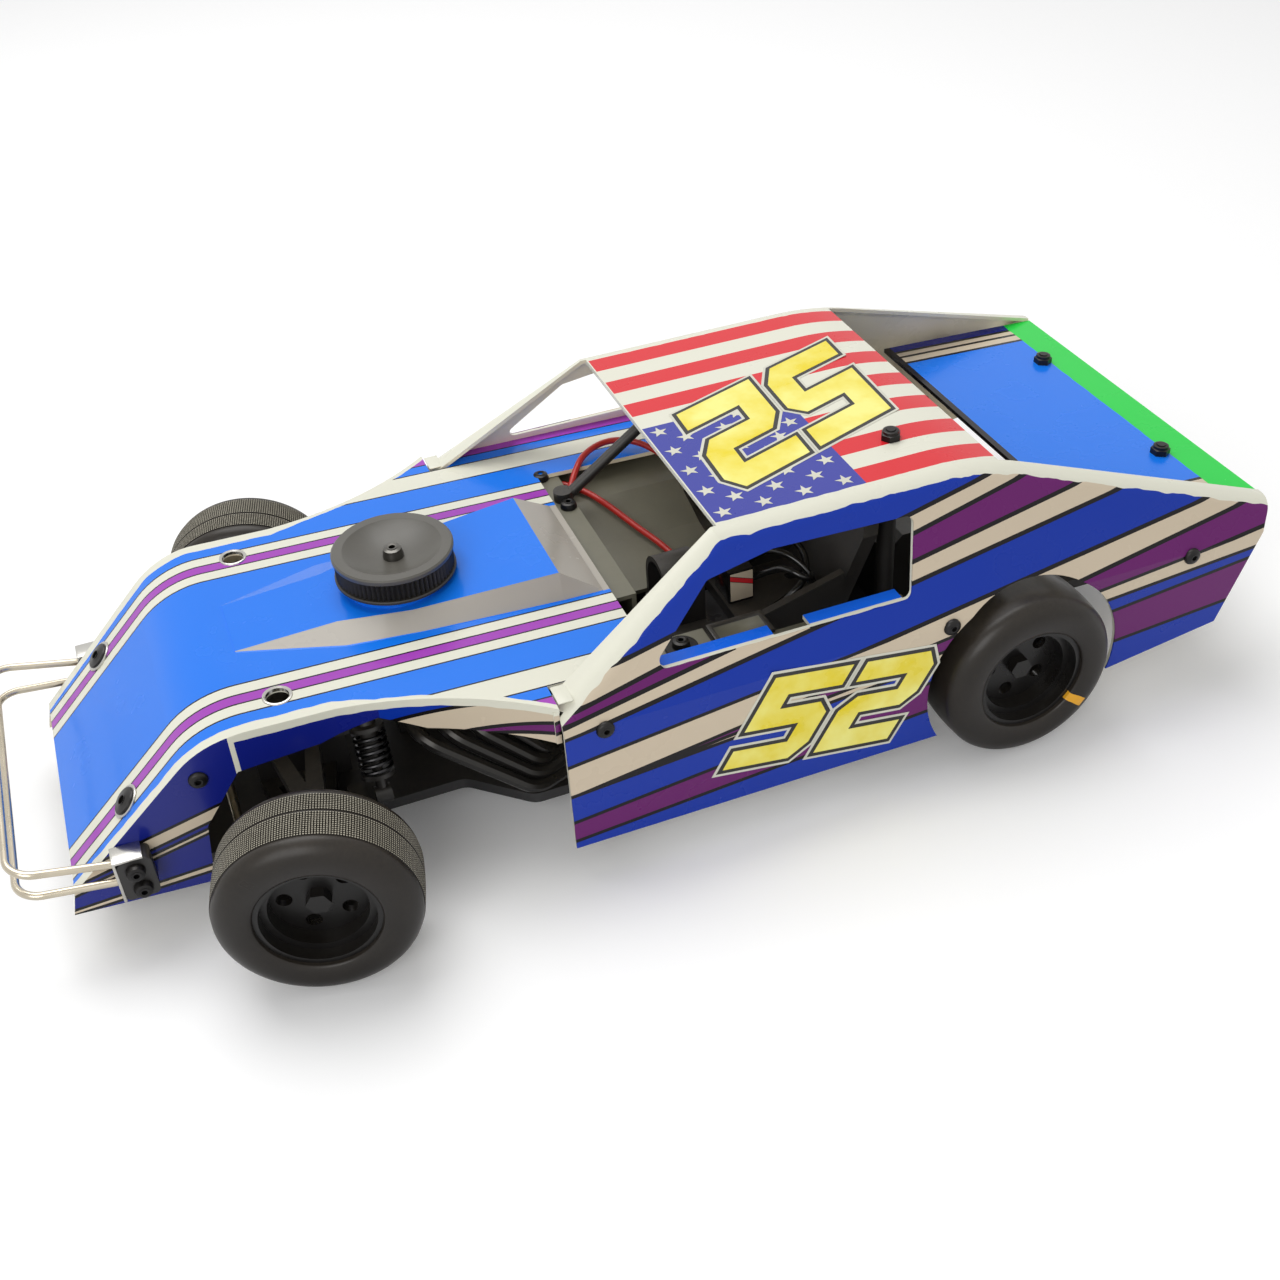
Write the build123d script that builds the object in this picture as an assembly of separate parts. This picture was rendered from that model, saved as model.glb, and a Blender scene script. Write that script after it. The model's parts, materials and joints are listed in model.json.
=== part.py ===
"""Radio controlled modified race car, 1:18, as an assembly of separate pieces.

Millimetres, +X forward, +Y to the car's left, +Z up, wheels on z = 0.
Pieces are drawn about the nose datum, the straight-ahead line of the front
wheels in the body's side view, and moved on export so that the origin lies
under the middle of the car.
"""
import os
from math import cos, pi, radians, sin, sqrt, tan

from build123d import *

# Overall reach from the nose datum, and a length for cuts that run right through
BUMPER_REACH = 56.5
TAIL_REACH = 212.5
BEYOND = TAIL_REACH + BUMPER_REACH

# Clearances: running fits, pressed seats, play at a pivot's ends, sheets laid on sheets
RUN_GAP = 0.05
SEAT_GAP = 0.04
END_PLAY = 0.25
LAY_GAP = 0.1

# Axles and steering
FRONT_AXLE_X = -1.6
REAR_AXLE_X = -152.0
FRONT_WHEEL_Y = 54.0
REAR_WHEEL_Y = 48.5
KINGPIN_Y = 40.0
STEER_AT_REST = -13.5
STEER_LOCK = 25.0
STEER_ARM = 15.0

# Tyres
TYRE_R = 20.0
TYRE_W = 18.0
TYRE_WALL = 8.0
TYRE_SHOULDER = 3.6
SHOULDER_CHORDS = 3
BEAD_TUCK = 0.9
BEAD_RISE = 1.8

# Rims
RIM_R = TYRE_R - TYRE_WALL
RIM_INSET = 0.6
RIM_WALL = 1.0
RIM_STEP = 1.5
RIM_STEP_DEPTH = 2.6
RIM_DISH = 6.0
RIM_FACE = 1.6
RIM_HOLES = 5
RIM_HOLE_R = 1.6
RIM_HOLE_RING = 6.6
HUB_R = 3.6
HUB_LENGTH = 6.0
NUT_R = 2.5
NUT_T = 2.4
AXLE_R = 2.0
BORE_STOP = 1.0
AXLE_TIP_GAP = 0.5

# Body sheet and cabin
SHEET = 1.0
EDGE_R = 4.5
DOOR_Y = 52.6
DOOR_FRONT_X = -49.6
DOOR_LOW_Z = 8.6
BELT_Z = 38.5
ROOF_Z = 66.8
ROOF_EDGE_Y = 40.4
ROOF_PANEL_Y = 37.4
COWL_Z = 42.3
ROOF_FRONT_X = -88.3
ROOF_REAR_X = -150.3
PILLAR_TOP_X = -87.0
PILLAR_BASE = 6.5
SAIL_TOP_X = -146.0
SAIL_BEND = 60.0
SAIL_RIM = 4.0
TAIL_Z = 44.8
TAIL_TUCK = 11.0
TAIL_LOW_X = -TAIL_REACH + TAIL_TUCK
TAIL_LOW_Z = 17.0
QUARTER_LOW_X = REAR_AXLE_X - 22.0
QUARTER_LOW_Z = 12.8
ARCH_GAP = 3.0
ARCH_R = TYRE_R + ARCH_GAP
ARCH_FOOT = 10.0

# Side windows: sill over the belt line, head under the roof, corners behind the pillar line
WINDOW_SILL = 6.9
WINDOW_HEAD = 5.2
WINDOW_HEAD_FALL = (0.8, 2.4)
WINDOW_FRONT = (14.2, 8.1)
WINDOW_REAR = (20.5, 17.2)
WINDOW_CREST_X = -98.0
WINDOW_R = 1.6
SILL_LIP = 4.0
SILL_GAP = (-101.7, -97.0)

# Hood and nose, places as (x, z)
NOSE_LIP = (45.9, 16.5)
NOSE_BEND = (14.8, 46.2)
NOSE_BEND_R = 20.0
NOSE_LOW_X = 1.5
NOSE_FRONT_Y = 30.0
NOSE_REAR_Y = 34.0
NOSE_SIDE_BEND_X = NOSE_BEND[0] - 5.0
FLARE_X = -10.0
FLARE_SAG = (-31.0, 5.4)
HOOD_REAR = (-72.0, 43.7)
HOOD_HOLE = (-0.7, 25.7)
HOOD_HOLE_R = 2.4
HOOD_DECK_END_X = -112.0
HOOD_DECK_Y = 31.0
BULGE_RISE = 5.6
# Sections of the raised part of the hood: place along the car, half widths at foot and top, share of the rise
BULGE_SECTIONS = [
    {"x": 4.5, "foot": 8.8, "top": 8.4, "share": 0.03},
    {"x": -16.5, "foot": 15.6, "top": 9.0, "share": 0.34},
    {"x": -31.5, "foot": 16.9, "top": 13.0, "share": 0.56},
    {"x": -62.0, "foot": 18.0, "top": 15.7, "share": 1.0},
    {"x": -70.5, "foot": 18.0, "top": 17.6, "share": 0.03},
]
# Lower edge of the turned-down sides (x, z), from the nose back to the door
SIDE_LOWER_EDGE = [(20.2, 10.8), (18.4, 25.3), (10.2, 37.0), (-6.2, 38.2), (-17.7, 41.5), (-26.4, 37.6)]
SIDE_DOOR_Z = 35.4

# Air cleaner on the hood
CLEANER_X = -31.4
CLEANER_R = 12.4
CLEANER_LID_Z = 55.7
CLEANER_BASE_Z = 49.6
CLEANER_LID_T = 1.2
CLEANER_LIP = 0.3
CLEANER_EDGE = 0.5
CLEANER_DISH = (2.4, 0.8)
CLEANER_TRAY_T = 0.8
PLEATS = 48
PLEAT_DEPTH = 0.6
STUD_HEAD = (1.6, 0.8)
BOSS_R = 11.0

# Rear deck, studs and nuts as distances from the tail
DECK_FRONT_X = -170.0
DECK_FRONT_Z = 46.3
DECK_REAR_Z = 44.4
DECK_Y = 45.6
DECK_NUT = (-TAIL_REACH + 9.7, 24.1)
DECK_FLANGE_X = (-TAIL_REACH + 7.5, DECK_FRONT_X - 10.0)
DECK_FLANGE_DROP = 2.5
DECK_STUD_X = -TAIL_REACH + 20.7
DECK_STUD_R = 2.0
PANEL_SCREW_Z = BELT_Z - 0.9

# Chassis plate, its underside a set distance below the axles
PLATE_Z = TYRE_R - 11.0
PLATE_T = 2.5
FLOOR_Z = PLATE_Z + PLATE_T
PLATE_NOSE_X = 42.0
PLATE_TAIL_X = -TAIL_REACH + 12.5
PLATE_NOSE_Y = 26.0
PLATE_MID_Y = 37.0
PLATE_TAIL_Y = 20.0
PLATE_WIDE_X = (-46.0, -126.0)
PLATE_SLANT = 12.0
PLATE_CORNER_R = 4.0

# Front suspension
ARM_T = 3.0
ARM_BAR = 3.0
ARM_TIP = 2.4
ARM_OPENING_END = 8.0
LOWER_ARM_Z = TYRE_R - 8.0
UPPER_ARM_Z = TYRE_R + 5.0
LOWER_ARM_SPREAD = 8.0
UPPER_ARM_SPREAD = 6.0
PIN_R = 1.5
PIN_BOSS_R = 3.6
KNUCKLE_R = 3.0
BULKHEAD_X = 8.0
BULKHEAD_Y = 13.0
BULKHEAD_Z = UPPER_ARM_Z + ARM_T + 1.0
TOWER_T = 3.0
TOWER_Y = 23.0
TOWER_Z = 38.0
TOWER_EAR = 3.0
TOWER_NOTCH = 6.0
TOWER_FACE_X = FRONT_AXLE_X - BULKHEAD_X - TOWER_T
SHOCK_FOOT = (30.0, LOWER_ARM_Z + ARM_T + 2.5)
SHOCK_EAR = 2.5
TIE_Z = TYRE_R - 0.4
TIE_T = 2.0
TIE_R = 1.0
TIE_EYE_WALL = 1.1
STEER_ARM_W = 4.0
STEER_ARM_T = 2.2
STUD_R = 1.0
STUD_PLAY = 0.35
STUD_TIP = 1.0

# Shocks: spring, damper body and rod, and pins
SPRING_R = 3.4
SPRING_CORE_R = 2.6
SPRING_TURNS = 4
SPRING_FOOT = 5.0
SPRING_HEAD = 4.5
DAMPER_ROD_R = 1.2
DAMPER_BODY_R = 1.8
SHOCK_EYE_R = 1.9
SHOCK_PIN_TIP = 1.6
SHOCK_STAND = SPRING_R + 0.3

# Rear axle, heights from the axle's centre
TUBE_R = 4.0
TUBE_END_Y = 38.5
GEARBOX_X = 12.0
GEARBOX_Y = 13.0
GEARBOX_TOP = TYRE_R + 13.0
GEARBOX_EDGE = 4.0
REAR_TOWER_T = 3.0
REAR_TOWER_FACE_X = REAR_AXLE_X - GEARBOX_X - REAR_TOWER_T
# Outline of the rear shock tower's left half above the gearbox's side (y, height over the axle)
REAR_TOWER = [(GEARBOX_Y, 4.0), (30.0, 16.0), (30.0, 22.0), (23.0, 22.0), (8.0, 16.0)]
REAR_SHOCK_Y = 27.0
REAR_SHOCK_LOW = TYRE_R - 1.5
REAR_SHOCK_HIGH = TYRE_R + 19.5
LINK_FRONT_X = -112.0
LINK_Y = 35.5
LINK_R = 1.8
LINK_FRONT_RISE = 4.5
LINK_FOOT = 3.0
CLAMP_WALL = 2.0
CLAMP_W = 5.0

# Motor, battery and electronics on the plate
MOTOR_R = 12.2
MOTOR_LENGTH = 26.0
MOTOR_X = -118.0
MOTOR_Y = -5.0
MOTOR_Z = FLOOR_Z + MOTOR_R + 0.5
MOTOR_EDGE = 1.2
MOTOR_BOSS = (3.5, 2.0)
MOUNT_T = 3.0
MOUNT_RISE = 7.0
MOUNT_LAP = 2.0
BATTERY_X = (-118.0, -66.0)
BATTERY_Y = (7.0, 31.0)
BATTERY_TOP = FLOOR_Z + 18.0
BATTERY_EDGE = 3.0
STRAP_X = (-92.5, -84.0)
STRAP_T = 1.2
STRAP_LOOP = (13.5, BATTERY_TOP + 8.5)
STRAP_LOOP_R = 6.5
CONTROL_X = (-104.0, -70.0)
CONTROL_Y = (-31.0, -8.0)
CONTROL_H = 10.0
FIN_COUNT = 8
FIN_T = 2.0
FIN_H = 3.0
FIN_PITCH = 4.0
SERVO_X = (-48.0, -25.0)
SERVO_Y = 6.0
SERVO_H = 20.0
SERVO_EAR = 4.0
SERVO_EAR_Z = (13.0, 15.0)
SERVO_HORN = (-30.0, 4.0, 3.0)

# Exhaust headers on both sides of the engine bay
PIPE_R = 1.5
PIPE_COUNT = 4
PIPE_SIDES = 10
PIPE_PITCH = 5.6
PIPE_BEND_R = 6.0
HEADER_X = (-45.0, -22.0)
HEADER_Y = 16.0
HEADER_T = 2.5
HEADER_Z = (27.0, 33.0)
HEADER_FOOT = 5.5
COLLECTOR_X = (-62.0, -56.0)
COLLECTOR = (33.0, FLOOR_Z + 6.6)
COLLECTOR_R = 4.6
# Where the pipes turn (x, y, z) for the first pipe, and the step to the next one
PIPE_SHOULDER = ((-25.5, 33.0, 31.0), (-PIPE_PITCH, -0.8, -1.0))
PIPE_ELBOW = ((-46.0, 39.5, 15.4), (-1.6, -1.6, 1.6))

# Interior: sheet tray, firewall and ledges, posts, brace and seat
TRAY_FRONT_X = HOOD_REAR[0] - 4.0
TRAY_REAR_X = -104.0
# Top of the tray across the car (y, z), from the right door to beside the battery
TRAY_LEVELS = [(-60.0, 40.0), (-24.0, 38.5), (-11.0, 34.0), (5.0, BATTERY_TOP + 2.0)]
SHELF_Y = (-36.0, 20.0)
FIREWALL_X = -63.0
FIREWALL_Y = 36.0
LEDGE_Y = 41.0
LEDGE_Z = 39.0
LEDGE_PLATE_X = -86.0
LEDGE_PLATE_Y = 34.0
LEDGE_DROP = 10.0
LEDGE_FRONT_X = HOOD_REAR[0] + 6.0
LEDGE_END_X = REAR_AXLE_X + TYRE_R + 4.0
ROOF_SCREW = (-133.6, 23.7)
POST_R = 2.0
BRACE_R = 1.3
BRACE_FOOT = (-75.0, -21.0)
BRACE_HEAD = (-111.0, -24.0)
BRACE_BALL = (2.2, 2.4)
SEAT_Y = 20.0
SEAT_X = (-119.0, -97.5)
SEAT_HALF = 11.0
SEAT_PAN_T = 3.0
SEAT_LEAN = 12.0
SEAT_BACK_T = 3.5
SEAT_TOP_Z = 57.0
SEAT_HEAD_Y = 6.0
SEAT_HEAD_DROP = 8.0
SEAT_WING_T = 1.8
SEAT_WING_Z = (37.0, 43.0)

# Insulated leads, clipped along the tray
LEAD_R = 0.75
LEAD_SIDES = 8
MOTOR_LEAD = [(-77.8, -25.5, 41.0), (-80.6, -29.2, 43.6), (-84.5, -33.5, 45.2), (-91.5, -36.8, 45.3),
              (-98.0, -33.5, 45.1), (-102.0, -27.0, 43.6), (-106.0, -21.0, 41.0), (-111.5, -17.5, 38.6),
              (-116.0, -16.0, 36.9)]
BATTERY_LEAD = [(-77.8, -30.5, 40.3), (-81.2, -27.0, 40.1), (-85.0, -20.0, 38.8), (-89.0, -12.5, 36.1),
                (-92.5, -5.0, 34.6), (-94.4, 2.0, 33.3), (-95.0, 7.5, 31.8), (-95.2, 10.5, 30.5)]

# Front bumper: bent wires in brackets on the nose's sides
BAR_R = 0.8
BAR_BEND_R = 5.0
NOSE_SCREW = (31.9, 24.9, 29.8)
BRACKET_X = (30.0, 36.6)
BRACKET_Z = (15.6, 25.2)
BRACKET_T = 4.4
BRACKET_EDGE = 1.2
# Wires: height at the bracket, height at the front, half width at the front
BARS = [(18.7, 21.0, 33.5), (23.4, 27.6, 34.3)]
BRACE_PLATE = (4.0, 2.5)
BRACE_LEG_X = (30.0, 34.0)
BRACE_LEG_Y = (8.0, 13.0)
BRACE_LEG_Z = 25.0

# Posts under the rear deck
TAIL_POST_R = 2.5
TAIL_BAR = 4.0
TAIL_BAR_RISE = (8.0, 12.0)
TAIL_FOOT = (12.0, 10.0)


def prism_y(points, half_width=BEYOND):
    """Side view outline (x, z) run across the car."""
    face = Plane.XZ * make_face(Polyline(*points, close=True))
    return extrude(face, half_width, both=True)


def prism_x(points, x_low, x_high):
    """Front view outline (y, z) run along the car."""
    face = Plane.YZ * make_face(Polyline(*points, close=True))
    return Pos(x_low, 0, 0) * extrude(face, x_high - x_low)


def block(x, y, z):
    """Box between two corners on each axis, each given as (low, high)."""
    size = [high - low for low, high in (x, y, z)]
    middle = [(high + low) / 2 for low, high in (x, y, z)]
    return Pos(*middle) * Box(*size)


def upright(x, y, radius, low, high):
    """Upright round block between two heights."""
    return Pos(x, y, (low + high) / 2) * Cylinder(radius, high - low)


def rod(start, end, radius):
    """Round bar between two points."""
    start, end = Vector(*start), Vector(*end)
    run = end - start
    return Plane(origin=start, z_dir=run) * extrude(Circle(radius), run.length)


def tube(path, section):
    """A section run along a path from its start."""
    return sweep(Plane(origin=path @ 0, z_dir=path % 0) * section, path)


def turned(profile):
    """Profile (radius, height) turned about the Z axis."""
    return revolve(Plane.XZ * make_face(Polyline(*profile, close=True)), Axis.Z)


def on_side(part, side):
    """A piece drawn on the left, or its mirror image when side is -1."""
    return part if side > 0 else mirror(part, about=Plane.XZ)


def mirrored(half):
    """Closed front view outline from the points of its left half."""
    return half + [(-y, z) for y, z in reversed(half)]


def lean_y(z):
    """Outer half width of the cabin at a height above the belt line."""
    return DOOR_Y - (z - BELT_Z) * (DOOR_Y - ROOF_EDGE_Y) / (ROOF_Z - BELT_Z)


def pillar_x(z):
    """Front edge of the windscreen pillars at a height."""
    return DOOR_FRONT_X + (z - COWL_Z) * (PILLAR_TOP_X - DOOR_FRONT_X) / (ROOF_Z - COWL_Z)


def hood_z(x):
    """Top of the hood sheet behind the nose bend."""
    (x0, z0), (x1, z1) = NOSE_BEND, HOOD_REAR
    return z0 + (x - x0) * (z1 - z0) / (x1 - x0)


def deck_z(x):
    """Top of the rear deck."""
    share = (DECK_FRONT_X - x) / (TAIL_REACH + DECK_FRONT_X)
    return DECK_FRONT_Z + share * (DECK_REAR_Z - DECK_FRONT_Z)


# Cabin shell: door sides, leaning window band, roof and sail panels
def cabin_solid(inset):
    """The cabin's outer form, or its inner one when inset by the sheet."""
    outline = make_face(Polyline(
        (DOOR_FRONT_X, 0), (DOOR_FRONT_X, COWL_Z), (PILLAR_TOP_X, ROOF_Z), (SAIL_TOP_X, ROOF_Z),
        (-TAIL_REACH, TAIL_Z), (TAIL_LOW_X, TAIL_LOW_Z), (TAIL_LOW_X, 0), close=True))
    corner = [v for v in outline.vertices() if abs(v.X - SAIL_TOP_X) < 0.01]
    outline = fillet(corner, SAIL_BEND)
    outline = offset(outline, -inset) if inset else outline
    section = make_face(Polyline(*mirrored([(DOOR_Y, 0), (DOOR_Y, BELT_Z), (ROOF_EDGE_Y, ROOF_Z)]), close=True))
    section = offset(section, -inset) if inset else section
    side = extrude(Plane.XZ * outline, BEYOND, both=True)
    solid = side & extrude(Plane.YZ * section, BEYOND, both=True)
    shoulder = [e for e in solid.edges() if on_shoulder(e, inset)]
    return fillet(shoulder, EDGE_R - inset)


def on_shoulder(edge, inset):
    """True for the edges that the leaning sides share with pillars, roof and sails."""
    lean = (DOOR_Y - ROOF_EDGE_Y) / (ROOF_Z - BELT_Z)
    step = inset * sqrt(1 + lean * lean)
    for share in (0.1, 0.5, 0.9):
        p = edge @ share
        if p.Z < COWL_Z - 2 * inset or abs(abs(p.Y) - (lean_y(p.Z) - step)) > 0.05:
            return False
    along = edge % 0.5
    return abs(along.X) > 0.2


def window_sill():
    """Height of the side windows' lower edge."""
    return BELT_Z + WINDOW_SILL


def side_window():
    """Side view of a window, its front edge along the pillar."""
    sill = window_sill()
    head = ROOF_Z - WINDOW_HEAD
    rear_head, front_head = [head - fall for fall in WINDOW_HEAD_FALL]
    outline = make_face(Polyline(
        (pillar_x(sill) - WINDOW_FRONT[0], sill), (SAIL_TOP_X + WINDOW_REAR[0], sill),
        (SAIL_TOP_X + WINDOW_REAR[1], rear_head), (WINDOW_CREST_X, head),
        (pillar_x(front_head) - WINDOW_FRONT[1], front_head), close=True))
    return fillet(outline.vertices(), WINDOW_R)


def sill_lips():
    """Strips of sheet folded inwards along the left window's sill, split at a gap."""
    sill = window_sill()
    outer_y = lean_y(sill) - SHEET / 2
    ends = (SAIL_TOP_X + WINDOW_REAR[0], pillar_x(sill) - WINDOW_FRONT[0])
    lips = Part()
    for low, high in ((ends[0], SILL_GAP[0]), (SILL_GAP[1], ends[1])):
        lips += block((low + WINDOW_R, high - WINDOW_R), (outer_y - SILL_LIP, outer_y), (sill - SHEET, sill))
    return lips


def cabin_shell():
    """Thin cabin with windows, wheel arches, front and rear left open."""
    shell = cabin_solid(0) - cabin_solid(SHEET)
    door_in = DOOR_Y - SHEET
    below, above = -SHEET, ROOF_Z + SHEET
    cowl_in = lean_y(COWL_Z)
    sail_in = lean_y(TAIL_Z) - SAIL_RIM
    front_gap = [(door_in, below), (door_in, BELT_Z), (cowl_in - 1.2 * SHEET, COWL_Z),
                 (cowl_in - PILLAR_BASE, COWL_Z), (ROOF_PANEL_Y, above)]
    rear_gap = [(door_in, below), (door_in, BELT_Z), (sail_in, TAIL_Z - SAIL_RIM), (sail_in, TAIL_Z),
                (ROOF_PANEL_Y, above)]
    shell -= prism_x(mirrored(front_gap), ROOF_FRONT_X, BUMPER_REACH)
    shell -= prism_x(mirrored(rear_gap), -BEYOND, ROOF_REAR_X)
    under = [(BUMPER_REACH, below), (BUMPER_REACH, DOOR_LOW_Z), (REAR_AXLE_X + ARCH_FOOT, DOOR_LOW_Z),
             (REAR_AXLE_X - ARCH_FOOT, QUARTER_LOW_Z), (QUARTER_LOW_X, QUARTER_LOW_Z),
             (TAIL_LOW_X, TAIL_LOW_Z), (-BEYOND, TAIL_LOW_Z), (-BEYOND, below)]
    shell -= prism_y(under)
    shell -= Pos(REAR_AXLE_X, 0, TYRE_R) * Rot(90, 0, 0) * Cylinder(ARCH_R, BEYOND)
    shell -= extrude(Plane.XZ * side_window(), BEYOND, both=True)
    return shell + sill_lips()


def cabin_panels():
    """The shell cut where the roof panel meets the two sides."""
    shell = cabin_shell()
    long = (-BEYOND, BEYOND)
    left = shell & block(long, (ROOF_PANEL_Y, BEYOND), long)
    right = shell & block(long, (-BEYOND, -ROOF_PANEL_Y), long)
    roof = shell & block(long, (-ROOF_PANEL_Y, ROOF_PANEL_Y), (window_sill() + SHEET, BEYOND))
    return {"side_panel_left": left, "side_panel_right": right, "roof_panel": roof}


# Nose and hood
def lip_front():
    """Foremost reach of the nose block, where its slope meets the floor."""
    (lip_x, lip_z), (bend_x, bend_z) = NOSE_LIP, NOSE_BEND
    return lip_x + lip_z * (lip_x - bend_x) / (bend_z - lip_z)


def nose_side_y(x):
    """Outer half width of the nose's side wall."""
    share = (lip_front() - x) / (lip_front() - NOSE_SIDE_BEND_X)
    return NOSE_FRONT_Y + share * (NOSE_REAR_Y - NOSE_FRONT_Y)


def hood_plan(inset):
    """Plan view of nose and hood back to the doors, narrow beside the wheels."""
    hood_y = lean_y(COWL_Z)
    flare_x, flare_out = FLARE_SAG
    left = [Line((lip_front(), NOSE_FRONT_Y), (NOSE_SIDE_BEND_X, NOSE_REAR_Y)),
            Line((NOSE_SIDE_BEND_X, NOSE_REAR_Y), (FLARE_X, NOSE_REAR_Y)),
            ThreePointArc((FLARE_X, NOSE_REAR_Y), (flare_x, NOSE_REAR_Y + flare_out), (DOOR_FRONT_X, hood_y))]
    right = [mirror(edge, about=Plane.XZ) for edge in left]
    ends = [Line((lip_front(), -NOSE_FRONT_Y), (lip_front(), NOSE_FRONT_Y)),
            Line((DOOR_FRONT_X, -hood_y), (DOOR_FRONT_X, hood_y))]
    plan = make_face(Curve() + left + right + ends)
    return offset(plan, -inset) if inset else plan


def hood_block(inset):
    """Solid under the nose and hood sheet."""
    side = make_face(Polyline((lip_front(), 0), NOSE_BEND, (DOOR_FRONT_X, hood_z(DOOR_FRONT_X)),
                              (DOOR_FRONT_X, 0), close=True))
    corner = [v for v in side.vertices() if abs(v.X - NOSE_BEND[0]) < 0.01]
    side = fillet(corner, NOSE_BEND_R)
    side = offset(side, -inset) if inset else side
    return extrude(Plane.XZ * side, BEYOND, both=True) & extrude(hood_plan(inset), BEYOND)


def bulge_section(x, foot, top, share, inset):
    """Section of the hood's raised part, or of the hollow under it when inset by the sheet."""
    z = hood_z(x)
    rise = BULGE_RISE * share
    half = [(foot - inset, z - SHEET - inset), (foot - inset, z - inset), (top - inset, z + rise - inset)]
    return Pos(x, 0, 0) * (Plane.YZ * make_face(Polyline(*mirrored(half), close=True)))


def bulge(inset):
    """Raised part of the hood that climbs to the rear and drops to the hood's edge."""
    sections = [bulge_section(**row, inset=inset) for row in BULGE_SECTIONS]
    form = Part()
    for front, rear in zip(sections, sections[1:]):
        form += loft([front, rear], ruled=True)
    return form


def strip(start_x, end_x):
    """Side view of a length of hood sheet."""
    return [(start_x, hood_z(start_x)), (end_x, hood_z(end_x)), (end_x, hood_z(end_x) - SHEET),
            (start_x, hood_z(start_x) - SHEET)]


def nose_hood():
    """One sheet from the nose lip to the cockpit, with turned-down sides."""
    shell = hood_block(0) - hood_block(SHEET)
    shell -= block((-BEYOND, DOOR_FRONT_X + 1.01 * SHEET), (-BEYOND, BEYOND),
                   (-SHEET, hood_z(DOOR_FRONT_X) - SHEET))
    mouth_y = NOSE_FRONT_Y - 2 * SHEET
    shell -= block((SIDE_LOWER_EDGE[0][0], BEYOND), (-mouth_y, mouth_y), (-SHEET, NOSE_LIP[1]))
    low_x, low_z = SIDE_LOWER_EDGE[0]
    edge = [(BEYOND, low_z)] + SIDE_LOWER_EDGE + [(DOOR_FRONT_X, SIDE_DOOR_Z)]
    shell -= prism_y(edge + [(DOOR_FRONT_X, -SHEET), (BEYOND, -SHEET)])
    heel = NOSE_LIP[0] + NOSE_LOW_X
    shell -= prism_y([(heel, -SHEET), (heel, low_z), NOSE_LIP, (BEYOND, NOSE_LIP[1]), (BEYOND, -SHEET)])
    deck = prism_y(strip(HOOD_REAR[0], HOOD_DECK_END_X)) & block(
        (-BEYOND, 0), (-BEYOND, -HOOD_DECK_Y), (0, BEYOND))
    cowl = prism_y(strip(DOOR_FRONT_X, HOOD_REAR[0])) + deck
    between = lean_y(COWL_Z) - PILLAR_BASE - SHEET
    shell += cowl & (cabin_solid(SHEET) + block((-BEYOND, BEYOND), (-between, between), (0, BEYOND)))
    shell += bulge(0)
    shell -= bulge(SHEET)
    shell += upright(CLEANER_X, 0, BOSS_R, hood_z(CLEANER_X) - SHEET, CLEANER_BASE_Z)
    shell -= upright(CLEANER_X, 0, BOSS_R - SHEET, 0, CLEANER_BASE_Z - SHEET)
    x, y = HOOD_HOLE
    for side in (-1, 1):
        shell -= upright(x, side * y, HOOD_HOLE_R, hood_z(x) - 3 * SHEET, BEYOND)
    return shell


def air_cleaner():
    """Round filter with a pleated band, a dished lid and a base tray."""
    low, lid_low = CLEANER_BASE_Z, CLEANER_LID_Z - CLEANER_LID_T
    ring = []
    for step in range(2 * PLEATS):
        radius = CLEANER_R - PLEAT_DEPTH * (step % 2)
        angle = pi * step / PLEATS
        ring.append((radius * cos(angle), radius * sin(angle)))
    band = Pos(0, 0, low) * extrude(make_face(Polyline(*ring, close=True)), lid_low - low)
    lid_r = CLEANER_R + CLEANER_LIP
    inset, depth = CLEANER_DISH
    dish_r, dish_z = lid_r - inset, CLEANER_LID_Z - depth
    head_r, head_t = STUD_HEAD
    lid = turned([(0, lid_low), (lid_r, lid_low), (lid_r, CLEANER_LID_Z - CLEANER_EDGE),
                  (lid_r - CLEANER_EDGE, CLEANER_LID_Z), (dish_r, CLEANER_LID_Z), (dish_r - depth, dish_z),
                  (head_r, dish_z), (head_r, dish_z + head_t), (0, dish_z + head_t)])
    tray = turned([(0, low), (lid_r, low), (lid_r, low + CLEANER_TRAY_T), (0, low + CLEANER_TRAY_T)])
    return Pos(CLEANER_X, 0, 0) * (band + lid + tray)


def rear_deck():
    """Flat deck between the sail panels with turned-down, studded sides."""
    front, rear = DECK_FRONT_X, -TAIL_REACH
    sheet = prism_y([(front, deck_z(front)), (rear, deck_z(rear)), (rear, deck_z(rear) - SHEET),
                     (front, deck_z(front) - SHEET)], DECK_Y)
    low = PANEL_SCREW_Z - DECK_FLANGE_DROP
    for side in (-1, 1):
        wall = sorted((side * DECK_Y, side * (DECK_Y - SHEET)))
        sheet += block(DECK_FLANGE_X, wall, (low, deck_z(DECK_FLANGE_X[0]) - SHEET / 2))
        root = (DECK_STUD_X, side * (DECK_Y - SHEET), PANEL_SCREW_Z)
        tip = (DECK_STUD_X, side * DOOR_Y, PANEL_SCREW_Z)
        sheet += rod(root, tip, DECK_STUD_R) & cabin_solid(SHEET)
    return sheet


# Wheels
def tyre(y):
    """Round-shouldered tyre with beads tucked in, on a wheel at half track y."""
    half = TYRE_W / 2
    corner = [(TYRE_R - TYRE_SHOULDER * (1 - cos(angle)), half - TYRE_SHOULDER * (1 - sin(angle)))
              for angle in (pi / 2 * step / SHOULDER_CHORDS for step in range(SHOULDER_CHORDS + 1))]
    bore = RIM_R + SEAT_GAP
    outer = corner + [(RIM_R + BEAD_RISE, half), (bore, half - BEAD_TUCK)]
    inner = [(radius, -height) for radius, height in reversed(outer)]
    return Pos(0, y, 0) * Rot(90, 0, 0) * turned(outer + inner)


def rim_edge():
    """Height of the rim's outer edge above the wheel's middle plane."""
    return TYRE_W / 2 - BEAD_TUCK - RIM_INSET


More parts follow.
